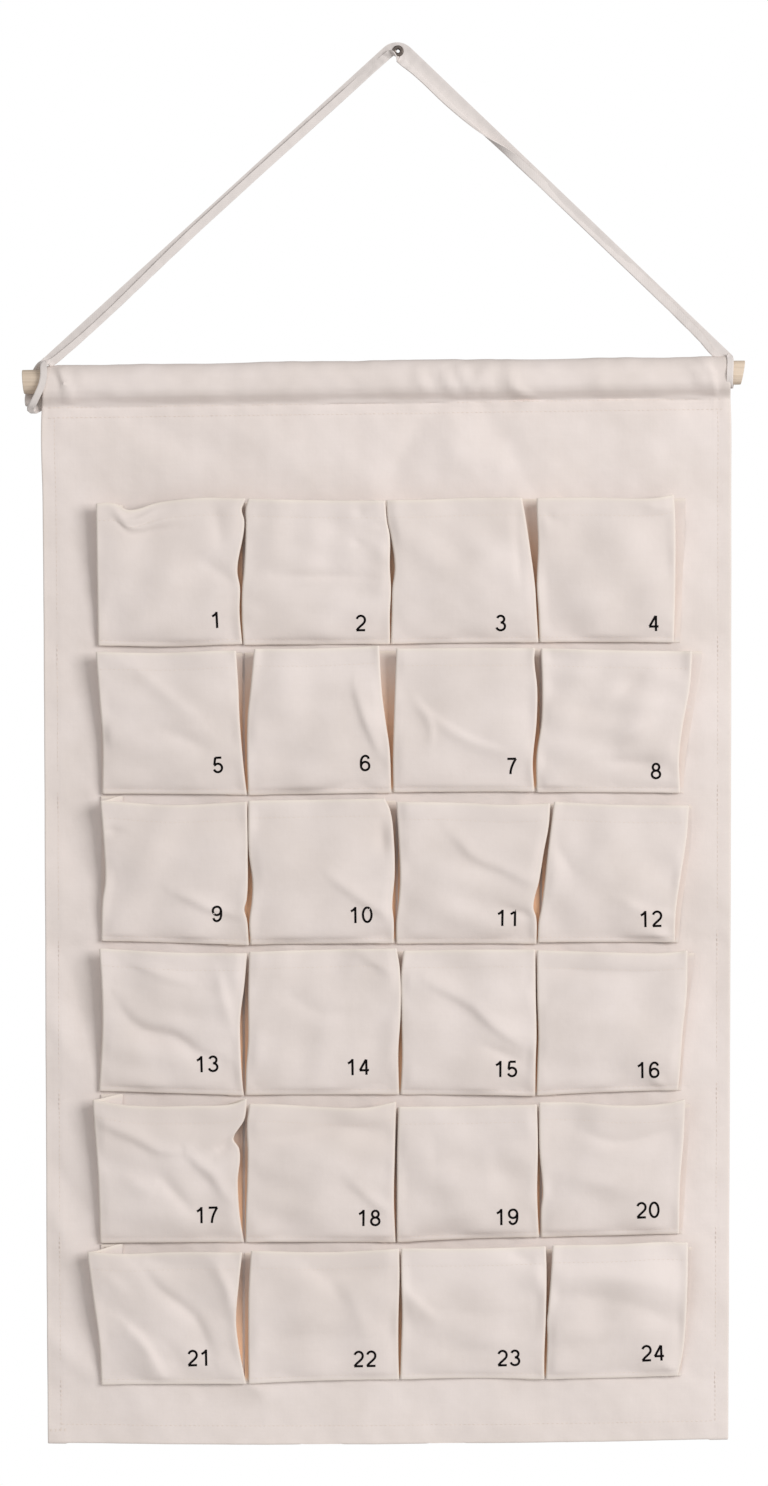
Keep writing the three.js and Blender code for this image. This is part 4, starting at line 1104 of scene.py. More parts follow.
def on_face(number, x, z, lift, cloth, mouth_depth):
    """Places on the face's front: x right of the column's edge, z over the row's foot line."""
    place = pocket_place(number)
    h = z / place.height
    for _ in range(4):
        left, right = face_sides(number, h, cloth)
        s = (place.left + x - left) / (right - left)
        low, high = face_lines(number, s)
        h = (place.foot + z - low) / (high - low)
    out = face_depth(number, x, s, h, mouth_depth) + cloth / 2 + lift
    u, v = place.left + x, place.foot + z
    return as_seen(on_cloth(u, drape(u, v) - out, v))


# The numbers' strokes, drawn one unit high from a common foot line


def bow(centre, radii, start, end, count=14):
    """Points of an oval arc, in degrees from its right, counter-clockwise."""
    turns = np.radians(np.linspace(start, end, count))
    return [(centre[0] + radii[0] * math.cos(a), centre[1] + radii[1] * math.sin(a)) for a in turns]


SIX = [
    (0.56, 0.75), (0.50, 0.88), (0.36, 0.945), (0.19, 0.87), (0.10, 0.70), (0.075, 0.47),
    (0.10, 0.22), (0.20, 0.09), (0.335, 0.055), (0.48, 0.10), (0.57, 0.21), (0.585, 0.31),
    (0.56, 0.43), (0.47, 0.53), (0.34, 0.57), (0.20, 0.53), (0.11, 0.42), (0.09, 0.34),
]
DIGITS = {
    "0": [bow((0.33, 0.5), (0.265, 0.445), 90, 450, 26)],
    "1": [[(0.10, 0.735), (0.21, 0.79), (0.31, 0.87), (0.375, 0.945)], [(0.375, 1.0), (0.375, 0.0)]],
    "2": [bow((0.325, 0.69), (0.25, 0.255), 165, 0)
          + [(0.565, 0.60), (0.50, 0.49), (0.36, 0.355), (0.20, 0.215), (0.10, 0.10), (0.075, 0.055)],
          [(0.05, 0.055), (0.585, 0.055)]],
    "3": [bow((0.31, 0.735), (0.22, 0.21), 160, -90), bow((0.31, 0.29), (0.265, 0.24), 90, -165)],
    "4": [[(0.455, 0.945), (0.455, 0.0)], [(0.44, 0.945), (0.055, 0.285)], [(0.04, 0.285), (0.615, 0.285)]],
    "5": [[(0.545, 0.945), (0.165, 0.945)], [(0.165, 0.96), (0.105, 0.50)],
          [(0.105, 0.50)] + bow((0.32, 0.315), (0.255, 0.26), 140, -160)],
    "6": [SIX],
    "7": [[(0.05, 0.945), (0.585, 0.945)],
          [(0.575, 0.945), (0.43, 0.70), (0.31, 0.42), (0.25, 0.18), (0.235, 0.0)]],
    "8": [bow((0.33, 0.735), (0.2, 0.21), 90, 450, 22), bow((0.33, 0.29), (0.255, 0.235), 90, 450, 24)],
    "9": [[(0.66 - x, 1.0 - y) for x, y in SIX]],
}
ADVANCE = 0.777
DIGIT_WIDTH = 0.66
INK_LIFT = 0.14


def stroke_line(stroke):
    """Even points along a stroke: straight between two points, or a curve through more."""
    line = np.array(stroke, float)
    if len(line) > 2:
        return curve_points(line, 0.035)
    return np.linspace(line[0], line[1], 14)


def number_mesh(number, sizes, material):
    """The printed number as one thin mesh of strokes lying on its pocket."""
    height = sizes.number_height / MM
    half = sizes.number_stroke / MM / 2
    middle_x, middle_z, tilt = NUMBER_PLACES[number]
    text = str(number)
    span = ADVANCE * (len(text) - 1) + DIGIT_WIDTH
    places, polygons = [], []
    for place, digit in enumerate(text):
        for stroke in DIGITS[digit]:
            line = (stroke_line(stroke) + [place * ADVANCE - span / 2, -0.5]) * height
            along = np.gradient(line, axis=0)
            along /= np.linalg.norm(along, axis=1, keepdims=True)
            side = np.stack([-along[:, 1], along[:, 0]], -1) * half
            for k in range(len(line) - 1):
                a = len(places) + 3 * k
                polygons += [[a, a + 3, a + 4, a + 1], [a + 1, a + 4, a + 5, a + 2]]
            places += list(np.stack([line - side, line, line + side], 1).reshape(-1, 2))
    flat = np.array(places)
    turn = math.radians(tilt)
    x = middle_x + flat[:, 0] * math.cos(turn) - flat[:, 1] * math.sin(turn)
    z = middle_z + flat[:, 0] * math.sin(turn) + flat[:, 1] * math.cos(turn)
    surface = on_face(number, x, z, INK_LIFT, sizes.pocket_cloth / MM, sizes.mouth_depth / MM)
    piece = mesh_piece(f"number_{number:02d}", surface, polygons, material)
    mesh = piece.data
    layer = mesh.uv_layers.new(name="cloth")
    index = np.zeros(len(mesh.loops), int)
    mesh.loops.foreach_get("vertex_index", index)
    layer.data.foreach_set("uv", (flat[index] * MM).ravel())
    select_only(piece)
    bpy.ops.object.mode_set(mode="EDIT")
    bpy.ops.mesh.select_all(action="SELECT")
    bpy.ops.mesh.normals_make_consistent(inside=False)
    bpy.ops.object.mode_set(mode="OBJECT")
    mesh.update()
    if np.mean([face.normal[1] for face in mesh.polygons]) > 0:
        mesh.flip_normals()
    bpy.ops.object.shade_smooth_by_angle(angle=math.radians(60))
    deselect()
    return piece


# The backing


def side_edges(v):
    """The backing's left and right folded edges at each height."""
    left = through([(12, -247.6), (8, -248.2), (-9, -250.6), (-22, -251.9), (-90, -251.0),
                    (-400, -249.2), (-640, -248.2), (-777, -247.2)], v)
    right = through([(12, 246.8), (-9, 249.7), (-20, 250.5), (-90, 250.9), (-400, 250.4),
                     (-777, 248.6)], v)
    return left, right


def foot_line(u):
    """The height of the backing's folded foot."""
    return through([(-251, -772.4), (-150, -774.6), (0, -777.0), (150, -776.8), (251, -775.8)], u)


# Creases in the backing, across and up from the dowel's axis
BACKING_FOLDS = [
    (2.6, (4.5, 1.5), [(-240.5, 10), (-236.6, 3), (-233.6, -6), (-232.6, -19)]),
    (1.4, (1.8, 5.0), [(-223.5, 9), (-221.0, 2), (-224.5, -6)]),
    (-1.2, 4, [(-222, -11), (-200, -12)]),
    (2.2, (1.6, 4.5), [(228.8, 10), (233.0, 4), (238.6, -3)]),
    (2.0, (1.4, 5.0), [(236.0, -3), (238.4, -10.9), (238.8, -18.0)]),
    (1.4, 3, [(219, 8), (226, -1), (229.4, -12)]),
    (2.2, (3, 5), [(51.7, 9), (57, -2.9), (61.2, -15)]),
    (2.0, 3, [(69.5, 5), (61.6, -14)]),
    (1.6, (2, 5), [(22, 9), (25, -2), (30, -16)]),
    (1.8, (2, 4), [(41, 6), (46, -8), (52, -17)]),
    (1.9, (2, 4), [(76, 8), (73, -4), (74, -17)]),
    (2.8, (3, 4), [(88.9, 8), (93.3, -10.2), (108.6, -18)]),
    (-1.1, 4, [(-120, 3), (-112, -16)]),
    (-1.0, 5, [(-30, 4), (-24, -16)]),
    (1.0, 6, [(150, 7), (158, -16)]),
    (-2.8, 9, [(31, -23), (27, -34), (10, -58), (3, -84)]),
    (-2.6, 10, [(68, -25), (80, -42), (95, -60), (106, -84)]),
    (-2.2, 12, [(190, -38), (160, -58), (127, -80)]),
    (2.0, 12, [(50, -24), (52, -70)]),
    (-1.8, 12, [(-190, -24), (-150, -46), (-118, -56)]),
    (1.4, 14, [(-120, -30), (-60, -70)]),
    (1.8, 4, [(-103, -731), (-86.8, -742)]),
    (-2.2, 12, [(-246, -400), (-228, -440), (-220, -480)]),
    (2.2, 10, [(-248, -455), (-226, -500)]),
    (-2.2, 12, [(-246, -560), (-222, -610)]),
    (2.0, 10, [(-246, -600), (-224, -650)]),
    (-1.6, 12, [(-240, -310), (-222, -370)]),
    (2.2, 8, [(-250, -690), (-230, -712), (-205, -728)]),
    (-1.8, 12, [(246, -430), (230, -470)]),
    (1.6, 12, [(244, -540), (228, -590)]),
    (-1.5, 16, [(-160, -742), (0, -752), (140, -744)]),
]


def backing_unevenness(u, v):
    """How far the washed canvas stands out of true, in long waves and short ones."""
    return 0.9 * ripples(u, v, 7, 70) + 0.35 * ripples(u, v, 8, 21)


def backing_heights():
    """The heights of the backing's lines below the tunnel, closer together at the pockets' feet."""
    rows = [-20.2, -21.6, -23, -24.5, -25.5, -26.5, -27.4, -28.6, -30.5]
    feet = []
    for row, height in enumerate(ROW_HEIGHTS):
        foot = FIRST_MOUTH - row * ROW_PITCH - height
        feet += list(np.arange(foot - 7.5, foot + 6, 1.9))
    plain = list(np.arange(-36, -766, -5.6))
    rows += [v for v in sorted(plain + feet, reverse=True) if v > -758]
    keep = [rows[0]]
    for v in rows[1:]:
        if keep[-1] - v > 1.2:
            keep.append(v)
    return keep


def backing_path(radius):
    """The middle of the backing's cloth, as y and v: from the raw edge behind the tunnel's seam,
    round the dowel and down the front, to the foot, which turns at this radius, and its hem."""
    behind = 1.3
    leave = math.acos(TUNNEL_RADIUS / SEAM_DROP)
    points = [
        (behind + 0.2 * smoothstep((-v - 24) / 7), v)
        for v in (-31, -28.6, -27.4, -26.5, -25.5, -23, -20.5)
    ]
    begin = np.array([behind, -SEAM_DROP])
    way = TUNNEL_RADIUS * np.array([math.sin(leave), -math.cos(leave)]) - begin
    for t in np.linspace(0, 1, 11)[:-1]:
        points.append(tuple(begin + way * smoothstep(t) * 0.5 + way * t * 0.5))
    for a in np.linspace(math.pi - leave, -math.pi / 2, 40):
        top = 1 + 0.147 * max(0, math.cos(a)) ** 2
        points.append((TUNNEL_RADIUS * math.sin(a), TUNNEL_RADIUS * math.cos(a) * top))
    slack = [(-10.2, 0.0), (-10.15, -4.0), (-9.5, -8.0), (-7.4, -11.5), (-4.2, -14.2), (-1.6, -16.4),
             (-0.4, -18.0), (-0.1, -SEAM_DROP)]
    points += [tuple(place) for place in curve_points(slack, 1.0)[1:]]
    points += [(0.0, v) for v in backing_heights()]
    points += [(0.0, CLOTH_FOOT + d) for d in (15, 13.2, 12.4, 11.6, 10, 7, 4.5, 2.5, 1.2, 0.4)]
    points += [
        (inwards, CLOTH_FOOT - past) for past, inwards in turned_edge((35, 70, 110, 145), radius)
    ]
    points += [(2 * radius, CLOTH_FOOT + d) for d in (0.4, 3, 6, 9, 12.2)]
    return np.array(points)


def backing_stations(turn):
    """The lines of the backing from side to side: (part, place, how far behind the front)."""
    hem = [(d, 2 * turn) for d in (10, 7.5, 5, 2.5, 1.0)]
    hem += [(-past, inwards) for past, inwards in turned_edge((150, 120, 90, 60, 30), turn)]
    hem += [(d, 0.0) for d in (0.0, 0.8, 1.8, 3.2, 5.0, 7.0, 9.0, 10.5, 12.0)]
    return (
        [("left", d, behind) for d, behind in hem]
        + [("middle", t, 0.0) for t in np.linspace(0, 1, 126)]
        + [("right", d, behind) for d, behind in reversed(hem)]
    )


def backing_cloth(sizes):
    """The backing as places[row, column], from its tunnel's raw edge to its folded foot."""
    turn = 0.475
    wide_turn, flat_turn = 1.3, 0.7
    side_strip = 14
    stations = backing_stations(turn)
    flat_path = backing_path(flat_turn)
    count = len(flat_path)

    # The path's first rows lie behind the dowel
    at_back = np.arange(count) < 24
    u = np.zeros((count, len(stations)))
    y, v, path_y, path_v = (np.zeros_like(u) for _ in range(4))
    inset = sizes.backing_cloth / MM / 2 + turn
    for k, (part, d, behind) in enumerate(stations):
        path = flat_path if part == "middle" else backing_path(wide_turn)
        tangent = np.gradient(path, axis=0)
        tangent /= np.linalg.norm(tangent, axis=1, keepdims=True)
        left, right = side_edges(path[:, 1])
        if part == "left":
            u[:, k] = left + inset + d
        elif part == "right":
            u[:, k] = right - inset - d
        else:
            first, last = left + inset + side_strip, right - inset - side_strip
            u[:, k] = first + (last - first) * d
        behind_seam = (path[:, 1] < -17) & at_back
        room = np.where(behind_seam, 0.35, 1.0)
        foot_lift = (foot_line(u[:, k]) - CLOTH_FOOT) * smoothstep((-path[:, 1] - 700) / 77)
        y[:, k] = path[:, 0] - tangent[:, 1] * behind * room
        v[:, k] = path[:, 1] + tangent[:, 0] * behind * room + foot_lift
        path_y[:, k], path_v[:, k] = path[:, 0], path[:, 1]

    y = y + drape(u, v) * smoothstep((-path_v - SEAM_DROP) / 6)
    pulls = []
    for row, height in enumerate(ROW_HEIGHTS):
        seam = FIRST_MOUTH - row * ROW_PITCH - height
        for side in (-1, 1):
            pulls += [
                (-0.5, 5, [(side * 214, seam + 1), (side * 232, seam - 2), (side * 249, seam - 8)]),
                (0.4, 6, [(side * 216, seam + 10), (side * 232, seam + 12), (side * 247, seam + 8)]),
            ]
    front = smoothstep((6 - path_y) / 6) * ~at_back[:, None]
    tube = np.where(path_v > -SEAM_DROP, 1.0, 0.0)
    rise = folds(u, v, BACKING_FOLDS) * front + folds(u, v, pulls) * (1 - tube)
    rise += backing_unevenness(u, v)

    # No dent in the tunnel's cloth reaches the dowel
    deepest = 0.85 + 5 * smoothstep((-path_v - 9) / 6)
    rise = np.where(tube > 0, np.maximum(rise, -deepest), rise)
    gather = 0.22 * ripples(u * 3.2, v * 0.35, 9, 26) * mound(v + SEAM_DROP + 1, 13) * front
    stitched = -0.16 * (mound(v + SEAM_DROP, 0.8) + mound(v + SECOND_SEAM_DROP, 0.8))
    hemline = -0.14 * mound(v - foot_line(u) - BOTTOM_HEM, 0.8)
    left, right = side_edges(v)
    sides = -0.1 * mound(u - left - SIDE_HEM, 0.8) - 0.1 * mound(u - right + SIDE_HEM, 0.8)
    rise += gather + (stitched + hemline) * front + sides
    outward = np.where(tube > 0, np.sign(-path_y) * smoothstep(np.abs(path_y) / 4), 1.0)
    y = y - rise * outward * np.where((path_y > 0.9) & (tube == 0), 0.4, 1.0)
    places = on_cloth(u, y, v + rise * tube * smoothstep(path_v / 8) * 0.6)

    flat_v = lengths_along(flat_path)
    flat_u = lengths_along(places[count // 2])
    flat = np.stack(np.broadcast_arrays(flat_u[None, :], -flat_v[:, None]), -1) + np.array([0.0, 900.0])
    # Painted highlight, faint, along the backing's side folds and its foot
    beside = np.maximum(np.minimum(u - left, right - u) - 0.6, 0)
    edge = 0.12 * np.maximum(mound(beside, 2.5), mound(v - foot_line(u), 2.0))
    return places, flat, {"edge": edge}, (flat_u[-1] * MM, flat_v[-1] * MM)


# The strap

# The tape's outer edge, in the part's frame: across, out and up. It leaves the left loop's end
# behind the leg, goes round the dowel, up the leg, over the top and down to the right loop's end.
LEFT_LOOP = [
    (-258.0, 1.4, -223.6), (-261.8, 2.0, -228.0), (-264.0, 5.2, -230.6), (-268.0, 9.2, -237.6),
    (-270.6, 9.3, -246.0), (-272.2, 5.6, -253.6), (-271.4, -0.4, -258.6), (-269.6, -6.0, -257.6),
    (-265.0, -9.6, -249.6), (-261.2, -9.9, -240.8), (-260.4, -8.8, -233.2), (-260.9, -5.2, -229.4),
    (-261.0, -1.8, -226.2),
]
RIGHT_LOOP = [
    (244.2, -2.4, -222.4), (244.8, -6.6, -226.2), (244.5, -9.7, -234.0), (244.3, -8.1, -239.5),
    (244.2, -4.6, -242.4), (244.4, 0.0, -243.3), (244.6, 4.6, -242.4), (244.8, 8.1, -239.5),
    (244.9, 9.7, -234.0), (244.8, 7.8, -228.4), (244.4, 4.0, -225.6), (242.0, 1.8, -223.4),
    (238.5, 1.5, -220.8),
]
LEG_LINES = (((-29.2, -14.3), (-259.0, -224.25)), ((29.2, -16.5), (243.6, -221.5)))
LEG_OUT = -0.9
BEND = 14.4
TAPE_WIDTH = 14.5


def strap_line():
    """The tape's outer edge as even points, with their distance along it from the top's middle, its
    length, and where its two legs end."""
    (left_top, left_foot), (right_top, right_foot) = np.array(LEG_LINES)
    left, right = left_top - left_foot, right_foot - right_top
    left, right = left / np.linalg.norm(left), right / np.linalg.norm(right)
    left_inward = np.array([left[1], -left[0]])
    right_inward = np.array([right[1], -right[0]])

    # The bend over the top touches both legs' lines
    apart = right_top + right_inward * BEND - left_top - left_inward * BEND
    along = np.linalg.solve(np.stack([left, -right], -1), apart)
    centre = left_top + left_inward * BEND + left * along[0]
    start = math.atan2(-left_inward[1], -left_inward[0])
    end = math.atan2(-right_inward[1], -right_inward[0])
    turns = np.linspace(start, end, 60)
    arc = centre + BEND * np.stack([np.cos(turns), np.sin(turns)], -1)
    share = np.linspace(0, 1, 150)[:, None]
    up = left_foot + (arc[0] - left_foot) * share
    down = arc[-1] + (right_foot - arc[-1]) * share
    legs = np.concatenate([up[:-1], arc, down[1:]])
    legs = np.stack([legs[:, 0], np.full(len(legs), LEG_OUT), legs[:, 1]], -1)

    first, last = curve_points(LEFT_LOOP, 1.2), curve_points(RIGHT_LOOP, 1.2)
    rough = np.concatenate([first, legs, last])
    at = lengths_along(rough)
    top = at[len(first) + len(legs) // 2]
    feet = (at[len(first)] - top, at[len(first) + len(legs) - 1] - top)

    # The rows lie closer together near the bend
    low, high = top - 26, top + 26
    places = np.concatenate([
        np.linspace(0, low, 250)[:-1],
        np.linspace(low, high, 88),
        np.linspace(high, at[-1], 250)[1:],
    ])
    line = np.stack([np.interp(places, at, rough[:, k]) for k in range(3)], -1)
    for _ in range(2):
        line[1:-1] = (line[:-2] + 2 * line[1:-1] + line[2:]) / 4
    return line, places - top, at[-1], feet


def strap_heading(line, s, p, feet):
    """The way the tape's width runs at each place, in radians: 0 along the picture, and over half
    a turn where it is folded back."""
    from_left, from_right = s - feet[0], feet[1] - s
    left_width = through([(feet[0] - 9, 4.6), (feet[0] + 2, 8.6), (feet[0] + 14, 9.5), (-200, 8.4),
                          (-60, 8.7), (0, 9.0)], s)
    right_width = through([(0, 9.0), (60, 9.2), (120, 8.6), (200, 8.3), (feet[1] - 26, 9.0),
                           (feet[1] - 8, 10.0), (feet[1] + 6, 5.0)], s)
    width = np.where(s < 0, left_width, right_width)
    turn = through([(-320, 172), (-60, 172), (-12, 168), (-5, 120), (1, 30), (8, 14), (24, 46),
                    (60, 54), (90, 85), (125, 165), (310, 172)], s)

    # The slack loop on the left hangs open at its back, and both loops fold a second time
    back = smoothstep((line[:, 1] + 5) / 8) * (s < 0)
    hanging_open = (1 - smoothstep((line[:, 2] + 243) / 7)) * back
    turn = turn * (1 - 0.93 * hanging_open)
    in_loop = smoothstep((5 - from_left) / 9) + smoothstep((5 - from_right) / 9)
    past_fold = p[None, :] - width[:, None]
    second = smoothstep((past_fold - 4.3) / 1.4) * in_loop[:, None]
    return np.radians(turn)[:, None] * (smoothstep((past_fold + 0.7) / 1.4) - second)


def strap_cloth():
    """The tape as places[row, column], folded along its legs and twisted open beside the top."""
    line, s, length, feet = strap_line()
    edge_steps = np.array([0, 0.25])
    p = np.concatenate([
        edge_steps, np.linspace(0.9, TAPE_WIDTH - 0.9, 34), TAPE_WIDTH - edge_steps[::-1]])
    tangent = np.gradient(line, axis=0)
    tangent /= np.linalg.norm(tangent, axis=1, keepdims=True)
    in_leg = smoothstep((s - feet[0]) / 6) * smoothstep((feet[1] - s) / 6)
    across = np.stack([tangent[:, 2], 0 * s, -tangent[:, 0]], -1)
    sideways = np.stack([np.where(s < 0, 1.0, -1.0), 0 * s, 0 * s], -1)
    across = across * in_leg[:, None] + sideways * (1 - in_leg[:, None])
    across -= tangent * np.sum(across * tangent, axis=1, keepdims=True)
    across /= np.linalg.norm(across, axis=1, keepdims=True)
    outward = -np.cross(tangent, across)

    heading = strap_heading(line, s, p, feet)
    middle = (heading[:, 1:] + heading[:, :-1]) / 2
    start = np.zeros((len(s), 1))
    a = np.concatenate([start, np.cumsum(np.cos(middle) * np.diff(p), axis=1)], 1)
    d = np.concatenate([start, np.cumsum(np.sin(middle) * np.diff(p), axis=1)], 1)
    pucker = 0.8 * np.sin(s[:, None] / 1.05 + 0.6 * np.sin(p)[None, :])
    d = d + mound(s, 17.0)[:, None] * pucker * smoothstep((p - 7) / 6)[None, :]
    d = d + 0.15 * ripples(*np.broadcast_arrays(s[:, None], p[None, :]), 31, 9)
    places = line[:, None, :] + across[:, None, :] * a[..., None] + outward[:, None, :] * d[..., None]
    flat = np.stack(np.broadcast_arrays(p[None, :], s[:, None]), -1) + np.array([50.0, 500.0])
    # Painted shade: darker along the leg's fold and down the left leg beside the top, where they lie in
    # shade
    shaded = 0.3 * mound(p[None, :] - 2.6, 3.0) * in_leg[:, None]
    crease = shaded + 0.22 * mound(s[:, None] + 22, 26)
    return as_seen(places), flat, {"edge": crease}, (TAPE_WIDTH * MM, length * MM)


# Operators


def settings(context):
    """The panel's sizes and colours."""
    return context.scene.calendar_sizes, context.scene.calendar_colours


class CALENDAR_OT_stage(bpy.types.Operator):
    """Add the camera, the soft light and the pale floor"""
    bl_idname = "calendar.stage"
    bl_label = "Stage"

    def execute(self, context):
        deselect()
        bpy.ops.mesh.primitive_plane_add(size=2.0, location=(0, 0, -1.6))
        floor = context.object
        floor.name = "floor"
        material, _, shader = new_material("floor_paint", 0.8)
        shader.inputs["Base Color"].default_value = (*written(240, 240, 240), 1)
        floor.data.materials.append(material)
        for name, place, size, power in (
            ("key", (2.6, -2.8, 0.4), 1.9, 106.0),
            ("fill", (-1.0, -2.6, 0.2), 2.0, 14.0),
        ):
            bpy.ops.object.light_add(type="AREA", location=place)
            light = context.object
            light.name = name
            light.data.size = size
            light.data.energy = power
            aim = Vector((0, 0, -0.5)) - Vector(place)
            light.rotation_euler = aim.to_track_quat("-Z", "Y").to_euler()
        self.add_world(context)
        place = (CAMERA_X * MM, -CAMERA_DISTANCE * MM, CAMERA_Z * MM)
        bpy.ops.object.camera_add(location=place, rotation=(math.radians(90), 0, 0))
        camera = context.object
        camera.data.sensor_fit = "VERTICAL"
        camera.data.sensor_height = SENSOR_HEIGHT
        camera.data.lens = SENSOR_HEIGHT * CAMERA_DISTANCE / VIEW_HEIGHT
        context.scene.camera = camera
        context.scene.view_settings.view_transform = "Standard"
        deselect()
        return {"FINISHED"}

    def add_world(self, context):
        """Soft light from all sides, before a white background."""
        world = bpy.data.worlds.new("studio")
        context.scene.world = world
        world.use_nodes = True
        tree = world.node_tree
        tree.nodes.clear()
        rays = add_node(tree, "ShaderNodeLightPath").outputs
        seen = sums(tree, "MAXIMUM", rays["Is Camera Ray"], rays["Is Transmission Ray"])
        soft = add_node(tree, "ShaderNodeBackground", {"Strength": 0.345, "Color": (1, 0.99, 0.98)})
        white = add_node(tree, "ShaderNodeBackground", {"Color": (1, 1, 1)})
        either = add_node(
            tree, "ShaderNodeMixShader", {0: seen, 1: soft.outputs[0], 2: white.outputs[0]})
        add_node(tree, "ShaderNodeOutputWorld", {0: either.outputs[0]})


class CALENDAR_OT_dowel(bpy.types.Operator):
    """Turn the wooden dowel that carries the backing"""
    bl_idname = "calendar.dowel"
    bl_label = "Dowel"

    def execute(self, context):
        _, colours = settings(context)
        deselect()
        bpy.ops.mesh.primitive_cylinder_add(
            vertices=96, radius=DOWEL_RADIUS * MM, depth=DOWEL_LENGTH * MM,
            location=(DOWEL_X * MM, 0, -DOWEL_DROP * MM),
            rotation=(0, math.radians(90 - TILT_DEGREES), 0),
        )
        dowel = context.object
        dowel.name = "dowel_wood"
        bpy.ops.object.transform_apply(location=True, rotation=True, scale=True)

        # The saw cut both ends a little aslant
        for vertex in dowel.data.vertices:
            over_axis = vertex.co.z + DOWEL_DROP * MM - (vertex.co.x - DOWEL_X * MM) * TILT
            slant = 0.07 if vertex.co.x < 0 else -0.19
            vertex.co.x += (DOWEL_RADIUS * MM - over_axis) * slant
        bpy.ops.object.modifier_add(type="BEVEL")
        rim = dowel.modifiers[-1]
        rim.width = DOWEL_RIM * MM
        rim.segments = 3
        rim.angle_limit = math.radians(60)
        bpy.ops.object.modifier_apply(modifier=rim.name)
        bpy.ops.object.shade_smooth_by_angle(angle=math.radians(40))
        dowel.data.materials.append(wood_finish(colours))
        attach(dowel, "dowel")
        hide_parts("dowel")
        deselect()
        return {"FINISHED"}


def backing_stitches(material):
    """The backing's rows of stitches: the tunnel, the side hems, the foot's hem and two tacks."""
    runs = []

    def run(u, v):
        relief = backing_unevenness(u, v)
        y = drape(u, v) * smoothstep((-v - SEAM_DROP) / 6) - relief - folds(u, v, BACKING_FOLDS) - 0.32
        runs.append(on_cloth(u, y, v))

    across = np.linspace(-247, 246, 200)
    for drop in (SEAM_DROP, SECOND_SEAM_DROP):
        run(across, np.full_like(across, -drop))
    down = np.linspace(-28, -766, 260)
    left, right = side_edges(down)
    run(left + SIDE_HEM, down)
    run(right - SIDE_HEM, down)
    across = np.linspace(-237, 239, 200)
    run(across, foot_line(across) + BOTTOM_HEM - 0.4)
    for left, v in ((-246.0, -763.5), (226.0, -16.5)):
        for k in range(3):
            across = np.linspace(left, left + 13.0, 12)
            run(across, np.full_like(across, v - 0.7 * k))
    return thread_mesh("backing_stitches", runs, material)


class CALENDAR_OT_backing(bpy.types.Operator):
    """Hang the canvas backing from the dowel, with its tunnel, hems and stitches"""
    bl_idname = "calendar.backing"
    bl_label = "Backing"

    def execute(self, context):
        sizes, colours = settings(context)
        places, flat, masks, size = backing_cloth(sizes)
        backing = grid_sheet("backing_canvas", places, flat, masks)
        finish_sheet(backing, sizes.backing_cloth)
        canvas = canvas_finish("washed_canvas", colours.canvas, colours, sizes.thread_pitch)
        backing.data.materials.append(canvas)
        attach(backing, "panel")
        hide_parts("backing_panel", "rod_tunnel_left", "rod_tunnel_right")
        stitches = backing_stitches(thread_finish(colours))
        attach(stitches, "panel")
        return {"FINISHED"}


def pocket_stitches(number, sizes, material):
    """The stitches along a pocket's foot and its mouth's hem, and round its pleat's box."""
    place = pocket_place(number)
    cloth, depth = sizes.pocket_cloth / MM, sizes.mouth_depth / MM
    runs = []
    for z, line in ((FOOT_STITCH, "foot"), (place.height - MOUTH_HEM + 0.6, "mouth")):
        left, right = face_sides(number, np.array([z / place.height]), cloth)
        x = np.linspace(left[0] + 1.2, right[0] - 1.2, 60) - place.left
        rise = through(POCKETS[number][line], (x - x[0]) / (x[-1] - x[0]))
        runs.append(on_face(number, x, z + rise, -0.05, cloth, depth))
    if number in PLEAT_BOXES:
        left, right, low, high = PLEAT_BOXES[number]
        box = np.array([(left, low), (right, low), (right, high), (left, high), (left, low)])
        for a, b in zip(box[:-1], box[1:]):
            u, v = (np.linspace(a, b, 12) + [place.left, place.mouth]).T
            runs.append(on_cloth(u, drape(u, v) - SEAT - 1.0, v))
    return thread_mesh(f"pocket_{number:02d}_stitches", runs, material)


class CALENDAR_OT_pockets(bpy.types.Operator):
    """Make the 24 bellows pockets, each one piece of canvas, with their stitches and numbers"""
    bl_idname = "calendar.pockets"
    bl_label = "Pockets"

    def execute(self, context):
        sizes, colours = settings(context)
        canvas = canvas_finish("pressed_canvas", colours.pocket_canvas, colours, sizes.thread_pitch)
        thread = thread_finish(colours)
        ink = ink_finish(colours, sizes.thread_pitch)
        for number in POCKETS:
            body = f"pocket_{number:02d}"
            places, flat, masks, size = pocket_cloth(
                number, sizes.pocket_cloth / MM, sizes.mouth_depth / MM)
            pocket = grid_sheet(body + "_canvas", places, flat, masks)
            finish_sheet(pocket, sizes.pocket_cloth)
            pocket.data.materials.append(canvas)
            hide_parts(body)
            stitches = pocket_stitches(number, sizes, thread)
            printed = number_mesh(number, sizes, ink)

            for piece in (pocket, stitches, printed):
                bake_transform(piece)
        return {"FINISHED"}


class CALENDAR_OT_strap(bpy.types.Operator):
    """Lead the cotton tape from one loop on the dowel over the eyelet to the other"""
    bl_idname = "calendar.strap"
    bl_label = "Strap"

    def execute(self, context):
        sizes, colours = settings(context)
        places, flat, masks, size = strap_cloth()
        strap = grid_sheet("strap_tape", places, flat, masks)
        eyelet_hole = 2.7 * MM
        shape = bmesh.new()
        shape.from_mesh(strap.data)
        hole = []
        for face in shape.faces:
            middle = face.calc_center_median()
            if math.hypot(middle.x, middle.z) < eyelet_hole:
                hole.append(face)
        bmesh.ops.delete(shape, geom=hole, context="FACES")
        shape.to_mesh(strap.data)
        shape.free()
        finish_sheet(strap, sizes.tape_cloth)
        strap.data.materials.append(tape_finish(colours, sizes.thread_pitch))
        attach(strap, "strap")
        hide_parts("hanging_strap")
        return {"FINISHED"}


